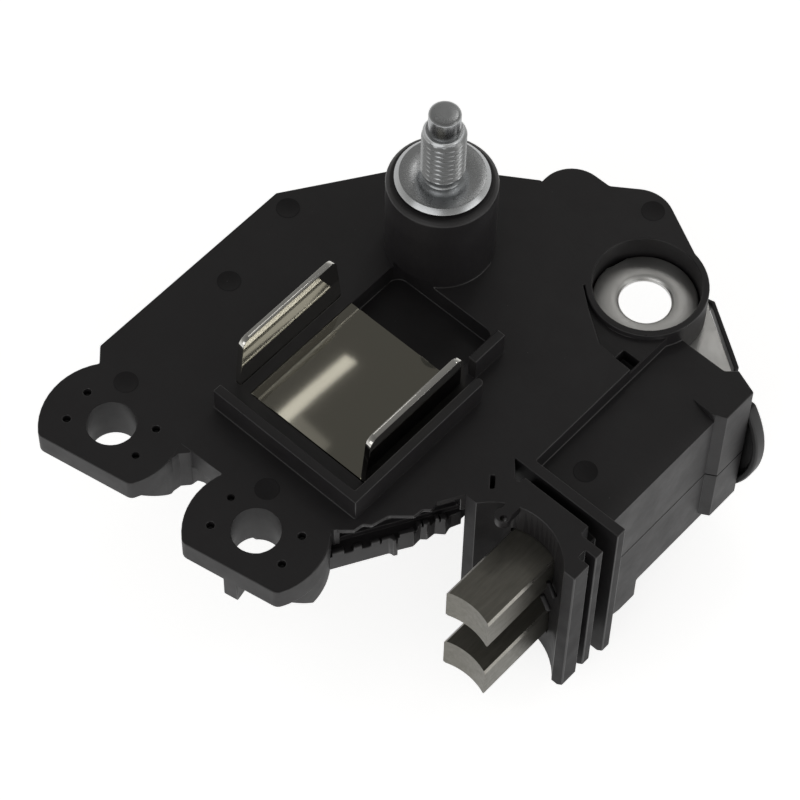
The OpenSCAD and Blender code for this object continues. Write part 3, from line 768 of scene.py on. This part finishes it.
class Assembly:
    """What every sub-assembly shares: its finishes and the way a piece is handed over."""

    def __init__(self, finishes: Finishes) -> None:
        """Keeps all finishes of the part."""
        self.finishes = finishes

    def hand_over(self, piece: Piece, slot: str, nodes: Sequence[str], body: Body = Body.HOUSING) -> Piece:
        """Dresses a piece, puts it on its body and lets it stand for its solids.

        Args:
            piece: The piece.
            slot: Material slot of the record, also the finish's name.
            nodes: The solids that it stands for.
            body: The body that it rides on.

        Returns:
            The piece.
        """
        if not piece.data.materials:
            piece.data.materials.append(self.finishes.get(slot))
        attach(piece, body.value)
        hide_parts(*nodes)
        LOG.info("%s: %d faces for %s on %s", piece.name, len(piece.data.polygons), ", ".join(nodes), body.value)
        return piece

    def softened_copy(self, node: str, slot: str, width: float, body: Body = Body.HOUSING) -> Piece:
        """Copies a solid, rounds its edges and hands it over.

        Args:
            node: The solid.
            slot: Material slot of the record.
            width: Width of the rounding, in millimetres.
            body: The body that it rides on.

        Returns:
            The piece.
        """
        piece = Bench.copied(node, node + "_dressed")
        Bench.soften(piece, width)
        Bench.shade(piece, 40, weighted=True)
        return self.hand_over(piece, slot, [node], body)


# ---------------------------------------------------------------- sub-assemblies


@dataclass
class StudSizes:
    """Sizes of the stud, in millimetres."""

    at: Flat = (10.15, 42.2)
    foot: float = -4.8
    under_bar: float = -4.0
    under_plate: float = -3.2
    flange: float = 12.35
    rim: float = 12.5
    top: float = 13.0
    thread_start: float = 13.6
    thread_end: float = 21.0
    tip: float = 23.8
    foot_r: float = 3.7
    foot_edge: float = 0.2
    knurl_r: float = 4.0
    collar_r: float = 5.35
    seat_r: float = 4.75
    relief: tuple[Flat, ...] = ((2.9, 0), (2.6, -0.12), (2.2, -0.14), (2.1, 0))
    thread_r: float = 2.5
    root_r: float = 2.05
    pitch: float = 0.8
    crest_from: float = 0.16
    crest_over: float = 0.74
    run_in: float = 0.7
    run_out: float = 0.75
    neck: float = 0.18
    tip_r: float = 1.8
    tip_round: tuple[Flat, ...] = ((0, -0.32), (0.05, -0.16), (0.18, -0.05), (0.36, 0))
    rings_to_pitch: int = 12
    steps: int = 72


class Stud(Assembly):
    """The threaded stud with its bevelled collar."""

    sizes = StudSizes()

    def build(self) -> None:
        """Makes the stud."""
        s = self.sizes
        rings = int((s.thread_end - s.thread_start) / s.pitch * s.rings_to_pitch)
        step = (s.thread_end - s.thread_start) / rings
        thread = [(s.root_r, s.thread_start + step * i) for i in range(rings + 1)]
        profile: list[Flat] = [
            (0, s.foot), (s.foot_r - s.foot_edge, s.foot), (s.foot_r, s.foot + s.foot_edge), (s.foot_r, s.under_bar),
            (s.thread_r, s.under_bar), (s.thread_r, s.under_plate), (s.knurl_r, s.under_plate), (s.knurl_r, s.flange),
            (s.collar_r - 0.08, s.flange), (s.collar_r, s.flange + 0.08), (s.collar_r, s.rim - 0.04),
            (s.collar_r - 0.05, s.rim + 0.03), (s.seat_r + 0.08, s.top - 0.03), (s.seat_r - 0.1, s.top),
            *((r, s.top + z) for r, z in s.relief), (s.root_r, s.top + 0.2), *thread, (s.tip_r, s.thread_end + 0.02),
            (s.tip_r - 0.02, s.thread_end + 0.3), (s.tip_r, s.thread_end + 0.45),
            *((s.tip_r - r, s.tip + z) for r, z in s.tip_round), (0.5, s.tip - 0.01), (0, s.tip - 0.01),
        ]
        piece = Bench.turned("stud_dressed", s.at, profile, s.steps)
        Bench.move_points(piece, self.thread_rule)
        Bench.shade(piece, 26)
        self.hand_over(piece, "stud_steel", ["stud_bolt"])

    def thread_rule(self, point: Vector) -> Optional[Vector]:
        """Lifts the thread's crests out of its root.

        Args:
            point: A point of the stud.

        Returns:
            Its new place, or None off the thread.
        """
        s = self.sizes
        dx, dy = point.x - s.at[0], point.y - s.at[1]
        radius = math.hypot(dx, dy)
        if not (s.thread_start - 0.01 <= point.z <= s.thread_end + 0.01 and abs(radius - s.root_r) < 0.02):
            return None
        turn = math.atan2(dy, dx) / math.tau
        wave = abs(((point.z / s.pitch - turn) % 1) * 2 - 1)
        crest = min(1.0, max(0.0, (wave - s.crest_from) / s.crest_over))
        fade = min(1.0, (point.z - s.thread_start + 0.15) / s.run_in, (s.thread_end - point.z) / s.run_out)
        grown = s.root_r + (s.thread_r - s.root_r) * crest * max(0.0, fade)
        low = s.root_r - s.neck * max(0.0, 1 - (s.thread_end - point.z) / 0.5)
        grown = max(grown, low)
        return Vector((s.at[0] + dx * grown / radius, s.at[1] + dy * grown / radius, point.z))


@dataclass
class EyeletSizes:
    """Sizes of the pressed eyelet, in millimetres."""

    at: Flat = (31.1, 53.65)
    radius: float = 6.05
    bore: float = 3.0
    face: float = -3.1
    seat: float = -3.9
    foot: float = -5.1
    wall: float = 0.8
    flat_at: float = 5.75
    flat_turn: float = 163.5


class Eyelet(Assembly):
    """The pressed eyelet in the round pocket."""

    sizes = EyeletSizes()

    def build(self) -> None:
        """Makes the eyelet."""
        s = self.sizes
        inner = s.radius - s.wall
        profile: list[Flat] = [
            (s.bore, s.seat), (inner - 0.2, s.seat), (inner, s.seat - 0.2), (inner, s.foot),
            (s.radius - 0.05, s.foot), (s.radius, s.foot + 0.05), (s.radius, s.face - 0.3),
            (s.radius - 0.1, s.face - 0.1), (s.radius - 0.3, s.face),
            (s.bore + 0.9, s.face), (s.bore + 0.42, s.face), (s.bore + 0.3, s.face - 0.03),
            (s.bore + 0.1, s.face - 0.2), (s.bore, s.face - 0.32), (s.bore, s.seat),
        ]
        piece = Bench.turned("eyelet_dressed", s.at, profile, 96)
        way = polar(1.0, s.flat_turn)
        at = (s.at[0] + way[0] * s.flat_at, s.at[1] + way[1] * s.flat_at, 0)
        Bench.cut(piece, at, (way[0], way[1], 0))
        Bench.soften(piece, 0.10, 2, 60)
        Bench.shade(piece, 35)
        self.hand_over(piece, "tinned_metal", ["terminal_eyelet"])


@dataclass
class SinkSizes:
    """Sizes of the heat sink and its tray, in millimetres."""

    left: float = 6.15
    right: float = 25.5
    sheet: float = 0.75
    front: float = 13.1
    back: float = 29.3
    base_low: float = -2.15
    base: float = -1.4
    height: float = 7.4
    corner: float = 1.2
    taper: float = 0.6
    tray_left: float = 8.4
    tray_right: float = 24.75
    tray_top: float = 0.05
    groove: float = 1.15
    groove_w: float = 0.25
    groove_deep: float = 0.13


class HeatSink(Assembly):
    """The folded sheet with its two blades, and the bright plate between them."""

    sizes = SinkSizes()

    def blade(self, name: str, x: float) -> Piece:
        """Makes one blade with rounded upper corners.

        Args:
            name: The piece's name.
            x: Its left face.

        Returns:
            The piece.
        """
        s = self.sizes
        low, high = s.front + s.taper, s.back - s.taper
        outline = [(s.front, s.base_low + 0.2), (s.front, 1.0)]
        outline += arc((low + s.corner, s.height - s.corner), s.corner, 180, 90, 6)
        outline += arc((high - s.corner, s.height - s.corner), s.corner, 90, 0, 6)
        outline += [(s.back, 1.0), (s.back, s.base_low + 0.2)]
        piece = Bench.plate(name, [(x, y, z) for y, z in outline], (s.sheet, 0, 0))
        return Bench.soften(piece, 0.10, 2, 40)

    def build(self) -> None:
        """Makes the sheet and the plate."""
        s = self.sizes
        blades = [self.blade("blade_left", s.left), self.blade("blade_right", s.right - s.sheet)]
        base = Bench.block("sink_base", (s.left, s.front, s.base_low), (s.right, s.back, s.base))
        Bench.soften(base, 0.12)
        sheet = Bench.joined("heat_sink_dressed", [*blades, base])
        Bench.shade(sheet, 40, weighted=True)
        self.hand_over(sheet, "sink_metal", ["heat_sink"])
        g0 = s.tray_left + s.groove
        g1 = g0 + s.groove_w
        section = [
            (s.tray_left, s.base), (s.tray_left, s.tray_top - 0.12), (s.tray_left + 0.12, s.tray_top), (g0, s.tray_top),
            (g0 + 0.04, s.tray_top - s.groove_deep), (g1 - 0.04, s.tray_top - s.groove_deep), (g1, s.tray_top),
            (s.tray_right - 0.15, s.tray_top), (s.tray_right, s.tray_top - 0.15), (s.tray_right, s.base),
        ]
        plate = Bench.plate("heat_spreader_dressed", [(x, s.front, z) for x, z in section], (0, s.back - s.front, 0))
        Bench.soften(plate, 0.04, 1, 50)
        Bench.shade(plate, 40, weighted=True)
        self.hand_over(plate, "spreader_metal", ["heat_spreader"])


@dataclass
class BrushSizes:
    """Sizes of a brush, its spring and its lead, in millimetres, and the lead's twist in degrees to the millimetre."""

    x: float = 42.0
    width: float = 6.0
    height: float = 5.0
    tip: float = 11.2
    length: float = 20.0
    bevel: float = 0.26
    ring_r: float = 7.75
    seat: float = 48.4
    travel: float = 8.0
    wire: float = 0.45
    coil: float = 4.2
    coils: int = 9
    coil_steps: int = 28
    weld: float = 0.001
    lead: float = 1.2
    strands: int = 7
    lead_cuts: int = 30
    lead_twist: float = 70.0
    heights: dict[Side, float] = field(default_factory=lambda: {Side.UPPER: -7.5, Side.LOWER: -18.5})


class Brushes(Assembly):
    """The two sprung brushes with their springs and braided leads."""

    sizes = BrushSizes()

    def brush(self, side: Side, body: Body) -> None:
        """Makes one brush with its hollow worn tip.

        Args:
            side: Which channel.
            body: The body that it rides on.
        """
        s = self.sizes
        z, w = s.heights[side], s.width / 2
        back = s.tip + s.length
        centre = s.tip - math.sqrt(s.ring_r ** 2 - w * w)
        reach = math.degrees(math.asin(w / s.ring_r))
        hollow = arc((s.x, centre), s.ring_r, 90 - reach, 90 + reach, 14)
        outline = [(s.x - w, back), (s.x + w, back), *hollow]
        name = f"brush_{side.value}_dressed"
        piece = Bench.plate(name, [(x, y, z - s.height / 2) for x, y in outline], (0, 0, s.height))
        # Slot 1 is the lighter carbon that paints the edge highlight.
        for finish in ("carbon", "carbon_edge_painted_highlight"):
            piece.data.materials.append(self.finishes.get(finish))
        self.break_long_edges(piece)
        Bench.shade(piece, 25)
        self.hand_over(piece, "carbon", [f"brush_{side.value}"], body)

    def break_long_edges(self, piece: Piece) -> None:
        """Bevels the four edges that run along a brush."""
        Bench.edit(piece)
        bpy.ops.mesh.select_mode(type="EDGE")
        bpy.ops.mesh.select_all(action="DESELECT")
        work = bmesh.from_edit_mesh(piece.data)
        for edge in work.edges:
            run = (edge.verts[0].co - edge.verts[1].co) / MM
            edge.select = abs(run.y) > self.sizes.length / 2 and abs(run.x) < 0.01 and abs(run.z) < 0.01
        bmesh.update_edit_mesh(piece.data)
        # The bevel faces take slot 1, whose lighter colour is a painted highlight.
        bpy.ops.mesh.bevel(
            offset=self.sizes.bevel * MM, offset_type="OFFSET", segments=1, affect="EDGES", material=1,
        )
        bpy.ops.mesh.select_mode(type="VERT")
        Bench.clear()

    def spring(self, side: Side) -> None:
        """Winds one spring by screwing a small circle round the channel's middle.

        Args:
            side: Which channel.
        """
        s = self.sizes
        z = s.heights[side]
        start = s.tip + s.length
        long = s.seat - start - s.wire
        radius = (s.coil - s.wire) / 2
        Bench.clear()
        bpy.ops.mesh.primitive_circle_add(
            vertices=10, radius=s.wire / 2 * MM, fill_type="NOTHING", location=(radius * MM, 0, 0),
            rotation=(math.radians(90), 0, 0),
        )
        wire = Bench.keep(f"brush_spring_{side.value}_dressed")
        Bench.modify(
            wire, "SCREW", axis="Z", angle=math.tau, iterations=s.coils, screw_offset=long / s.coils * MM,
            steps=s.coil_steps, render_steps=s.coil_steps, use_merge_vertices=True, merge_threshold=s.weld * MM,
        )
        Bench.edit(wire)
        bpy.ops.mesh.remove_doubles(threshold=s.weld * MM)
        bpy.ops.mesh.select_all(action="DESELECT")
        bpy.ops.mesh.select_non_manifold()
        bpy.ops.mesh.edge_face_add()
        Bench.face_out()
        Bench.move_points(wire, lambda p: Vector((s.x + p.x, start + s.wire / 2 + p.z, z - p.y)))
        Bench.shade(wire, 50)
        self.hand_over(wire, "spring_steel", [f"brush_spring_{side.value}"])
        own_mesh(wire)

    def lead(self, side: Side) -> None:
        """Twists one braided lead out of strands.

        Args:
            side: Which channel.
        """
        s = self.sizes
        z = s.heights[side]
        start = s.tip + s.length
        long = s.seat - start
        strands = []
        for i in range(s.strands):
            off = 0.0 if i == 0 else s.lead / 3
            turn = 360 / (s.strands - 1) * i
            strand = Bench.rod(f"strand_{i}", (0, 0, long / 2), s.lead / 6, long, 10)
            Bench.edit(strand)
            for k in range(1, s.lead_cuts):
                bpy.ops.mesh.select_all(action="SELECT")
                bpy.ops.mesh.bisect(plane_co=(0, 0, long * k / s.lead_cuts * MM), plane_no=(0, 0, 1))
            Bench.clear()

            def twist(p: Vector, off: float = off, turn: float = turn) -> Vector:
                """Winds a point of the strand round the lead."""
                x, y = polar(off, turn + p.z * s.lead_twist)
                return Vector((s.x + p.x + x, start + p.z, z - p.y - y))

            strands.append(Bench.move_points(strand, twist))
        piece = Bench.joined(f"brush_lead_{side.value}_dressed", strands)
        Bench.edit(piece)
        Bench.face_out()
        Bench.shade(piece, 50)
        self.hand_over(piece, "copper_braid", [f"brush_lead_{side.value}"])
        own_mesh(piece)

    def build(self) -> None:
        """Makes both brushes with what drives them."""
        for side, body in ((Side.UPPER, Body.UPPER_BRUSH), (Side.LOWER, Body.LOWER_BRUSH)):
            self.brush(side, body)
            self.spring(side)
            self.lead(side)
            self.softened_copy(f"brush_terminal_{side.value}", "bare_brass", 0.08)


@dataclass
class CarrierSizes:
    """Sizes of what is worked into the moulding, in millimetres."""

    rounding: float = 0.16
    ear_r: float = 7.98
    web_in: float = 6.8
    web_from: float = -24.0
    web_to: float = 9.0
    web_corner: tuple[Flat, ...] = ((8.0, 2.2), (8.75, 3.05), (8.9, 3.9), (7.6, 4.6), (6.6, 1.8))
    web_low: float = -6.9
    web_top: float = -0.04
    slope_at: Point = (0, -3.0, -3.2)
    slope_way: Point = (0, -3.7, -3.48)
    mark_r: float = 1.4
    mark_high: float = 0.03
    mark_rim: float = 0.16
    marks: tuple[Point, ...] = (
        (-2.6, 4.87, 0), (18.13, 5.44, 0), (-5.63, 33.97, 0), (-3.59, 22.19, 0), (25.13, 61.8, 0), (41.05, 31.5, -2.4),
    )
    lip: tuple[Flat, ...] = (
        (35.3, 59.1), (36.2, 59.4), (43.68, 54.32), (44.05, 54.75), (42.2, 56.0), (36.4, 59.85), (35.4, 59.6),
    )
    lip_low: float = -6.4
    lip_high: float = -4.9
    pegs: tuple[tuple[Point, float], ...] = (((45.75, 20.9, -9.0), 0.28), ((46.3, 19.25, -9.0), 0.3))
    peg_long: float = 2.3
    peg_tilt: Point = (0, -28, 0)
    # Corner of the collar region whose faces take the darker plastic as painted shade.
    painted_shade_x: float = 34.2
    painted_shade_y: float = 27.8
    painted_shade_z: float = -2.5


class Carrier(Assembly):
    """The moulded carrier with its boss, ears, ribs, box and collar."""

    sizes = CarrierSizes()

    def ear_web(self) -> Piece:
        """Makes the wall under the left ear, with its sloping end."""
        s = self.sizes
        outer = arc((0, 0), s.ear_r, s.web_from, s.web_to, 10)
        inner = arc((0, 0), s.web_in, s.web_to, s.web_from, 10)
        outline = [(x, y, s.web_low) for x, y in (*outer, *s.web_corner, *inner[1:])]
        wall = Bench.plate("ear_web", outline, (0, 0, s.web_top - s.web_low))
        return Bench.soften(Bench.cut(wall, s.slope_at, s.slope_way), 0.06)

    def mark(self, name: str, at: Point) -> Piece:
        """Makes the round trace that an ejector pin leaves.

        Args:
            name: The piece's name.
            at: Its place on the surface.

        Returns:
            The trace.
        """
        s = self.sizes
        rise = s.mark_high
        profile = [
            (0, -rise), (s.mark_r, -rise), (s.mark_r - 0.03, rise), (s.mark_r - s.mark_rim, rise),
            (s.mark_r - s.mark_rim - 0.04, rise * 0.4), (0, rise * 0.4),
        ]
        trace = Bench.turned(name, at[:2], [(r, at[2] + z) for r, z in profile], 40)
        trace.data.materials.append(self.finishes.get("black_plastic_dull_painted_shade"))
        return trace

    def build(self) -> None:
        """Makes the carrier."""
        s = self.sizes
        piece = Bench.copied("carrier", "carrier_dressed")
        for name in ("black_plastic", "black_plastic_edge_painted_highlight", "black_plastic_dull_painted_shade"):
            piece.data.materials.append(self.finishes.get(name))
        # Faces of the collar below the plate take the darker plastic, a painted shade of the overhang.
        for face in piece.data.polygons:
            x, y, z = face.center / MM
            if x > s.painted_shade_x and y < s.painted_shade_y and z < s.painted_shade_z:
                face.material_index = 2
        # The rounded edges take slot 1, the lighter plastic that paints their highlight.
        Bench.round_edges(piece, s.rounding, 1)
        marks = [self.mark(f"mark_{i}", at) for i, at in enumerate(s.marks)]
        lip = Bench.plate("strap_lip", [(x, y, s.lip_low) for x, y in s.lip], (0, 0, s.lip_high - s.lip_low))
        web, lip = self.ear_web(), Bench.soften(lip, 0.08)
        pegs = [Bench.rod(f"peg_{i}", at, r, s.peg_long, 16, s.peg_tilt) for i, (at, r) in enumerate(s.pegs)]
        for peg in pegs:
            Bench.soften(peg, 0.1)
        for part in (web, lip, *pegs):
            # The pegs take the same darker plastic as the collar region around them.
            finish = "black_plastic_dull_painted_shade" if part in pegs else "black_plastic"
            part.data.materials.append(self.finishes.get(finish))
        piece = Bench.joined("carrier_dressed", [piece, web, lip, *marks, *pegs])
        Bench.shade(piece, 40, weighted=True)
        self.hand_over(piece, "black_plastic", ["carrier"])


class Inside(Assembly):
    """The circuit under the tray, its gel and cover, and the strips that join it up."""

    def build(self) -> None:
        """Makes the parts inside."""
        for node, slot, width in (
            ("ceramic_substrate", "ceramic", 0.06),
            ("regulator_chip", "silicon", 0.04),
            ("filter_capacitor", "component_body", 0.12),
            ("sense_resistor", "component_body", 0.08),
            ("potting_gel", "gel", 0.08),
            ("underside_cover", "cover_plastic", 0.25),
            ("positive_bar", "bare_brass", 0.10),
            ("ground_bar", "tinned_metal", 0.10),
            ("field_bar", "bare_brass", 0.10),
            ("rear_cap", "cover_plastic", 0.30),
        ):
            self.softened_copy(node, slot, width)


# ---------------------------------------------------------------- studio


@dataclass
class Lamp:
    """A soft rectangular lamp that looks at the part."""

    name: str
    place: Point
    size: Flat
    glow: float
    colour: Colour = (1, 1, 1)
    level: bool = False

    @property
    def power(self) -> float:
        """Gives the lamp's power in watts, from its glow and its face."""
        return math.pi * self.glow * self.size[0] * self.size[1] * MM * MM


@dataclass
class Studio:
    """Floor, lamps, surroundings and camera."""

    middle: Point = (18, 26, -4)
    floor_z: float = -28.9
    floor_seen: float = 0.72
    floor_mirrored: float = 0.5
    room_tones: tuple[Flat, ...] = ((0.0, 0.85), (0.25, 0.62), (0.55, 0.30), (1.0, 0.16))
    camera_at: Point = (143.628, -117.539, 295.576)
    camera_turn: Point = (32.29227, -0.74804, 42.18343)
    lens: float = 144.0
    lamps: tuple[Lamp, ...] = (
        Lamp("key_back_right", (232, 176, 318), (96, 90), 1.15, (1.0, 0.985, 0.95)),
        Lamp("fill_front", (60, -260, 160), (320, 160), 1.0),
        Lamp("side_right", (336, 120, 120), (220, 110), 1.15),
        Lamp("strip_over_blade", (164.2, 180, 334), (2.6, 36), 6.5, (1.0, 0.985, 0.96), True),
        Lamp("strip_over_tray", (-120.9, 155.0, 300), (3.6, 26), 1.9, (1.0, 0.985, 0.95), True),
        Lamp("panel_over_tray", (-113, 136, 300), (11, 22), 0.3, (1.0, 0.98, 0.95), True),
        Lamp("panel_over_strap", (-56, 240, 300), (46, 60), 2.3, (1.0, 0.985, 0.96), True),
    )

    def floor(self) -> None:
        """Lays the pale floor, which shows white with the part's shadow on it."""
        Bench.clear()
        bpy.ops.mesh.primitive_plane_add(size=6, location=(0, 0, self.floor_z * MM))
        floor = Bench.keep("studio_floor")
        sheet = Sheet("studio_floor")
        sheet.shader.inputs["Base Color"].default_value = (0.86, 0.86, 0.86, 1)
        sheet.fix(Roughness=0.9)
        rays = sheet.tree.nodes.new("ShaderNodeLightPath")
        mirrored = sheet.maths("MAXIMUM", rays.outputs["Is Glossy Ray"], rays.outputs["Is Transmission Ray"])
        seen = sheet.maths("MULTIPLY", rays.outputs["Is Camera Ray"], self.floor_seen)
        sheet.shader.inputs["Emission Color"].default_value = (1, 1, 1, 1)
        glow = sheet.maths("MAXIMUM", seen, sheet.maths("MULTIPLY", mirrored, self.floor_mirrored))
        sheet.wire(glow, "Emission Strength")
        floor.data.materials.append(sheet.material)

    def surroundings(self) -> None:
        """Sets a soft room round the part, with a white background behind it."""
        world = bpy.data.worlds.new("studio")
        bpy.context.scene.world = world
        world.use_nodes = True
        tree = world.node_tree
        tree.nodes.clear()
        new, link = tree.nodes.new, tree.links.new
        coord, split, ramp = new("ShaderNodeTexCoord"), new("ShaderNodeSeparateXYZ"), new("ShaderNodeValToRGB")
        link(coord.outputs["Generated"], split.inputs[0])
        link(split.outputs["Z"], ramp.inputs[0])
        set_stops(ramp, [(place, (tone, tone * 0.99, tone * 0.96)) for place, tone in self.room_tones])
        room, back, mix = new("ShaderNodeBackground"), new("ShaderNodeBackground"), new("ShaderNodeMixShader")
        rays, out = new("ShaderNodeLightPath"), new("ShaderNodeOutputWorld")
        link(ramp.outputs[0], room.inputs["Color"])
        back.inputs["Color"].default_value = (1, 1, 1, 1)
        link(rays.outputs["Is Camera Ray"], mix.inputs[0])
        link(room.outputs[0], mix.inputs[1])
        link(back.outputs[0], mix.inputs[2])
        link(mix.outputs[0], out.inputs[0])

    def light(self) -> None:
        """Hangs the lamps."""
        for lamp in self.lamps:
            data = bpy.data.lights.new(lamp.name, "AREA")
            data.shape = "RECTANGLE"
            data.size, data.size_y = lamp.size[0] * MM, lamp.size[1] * MM
            data.energy = lamp.power
            data.color = lamp.colour
            stand = bpy.data.objects.new(lamp.name, data)
            place = Vector(lamp.place) * MM
            stand.location = place
            if not lamp.level:
                stand.rotation_euler = (Vector(self.middle) * MM - place).to_track_quat("-Z", "Y").to_euler()
            bpy.context.scene.collection.objects.link(stand)

    def camera(self) -> None:
        """Sets the camera at the photograph's place."""
        data = bpy.data.cameras.new("camera")
        data.sensor_fit = "HORIZONTAL"
        data.sensor_width = 36.0
        data.lens = self.lens
        data.clip_start, data.clip_end = 0.01, 20
        stand = bpy.data.objects.new("camera", data)
        stand.location = Vector(self.camera_at) * MM
        stand.rotation_euler = Euler([math.radians(t) for t in self.camera_turn], "XYZ")
        bpy.context.scene.collection.objects.link(stand)
        bpy.context.scene.camera = stand

    def build(self) -> None:
        """Sets up the studio."""
        bpy.context.scene.view_settings.view_transform = "Standard"
        self.floor()
        self.surroundings()
        self.light()
        self.camera()


def main() -> None:
    """Builds the dressed part and the studio."""
    logging.basicConfig(level=logging.INFO, format="%(message)s")
    Studio().build()
    finishes = Finishes()
    for assembly in (Carrier, HeatSink, Stud, Eyelet, Brushes, Inside):
        LOG.info("building %s", assembly.__name__)
        assembly(finishes).build()


if __name__ == "__main__":
    main()
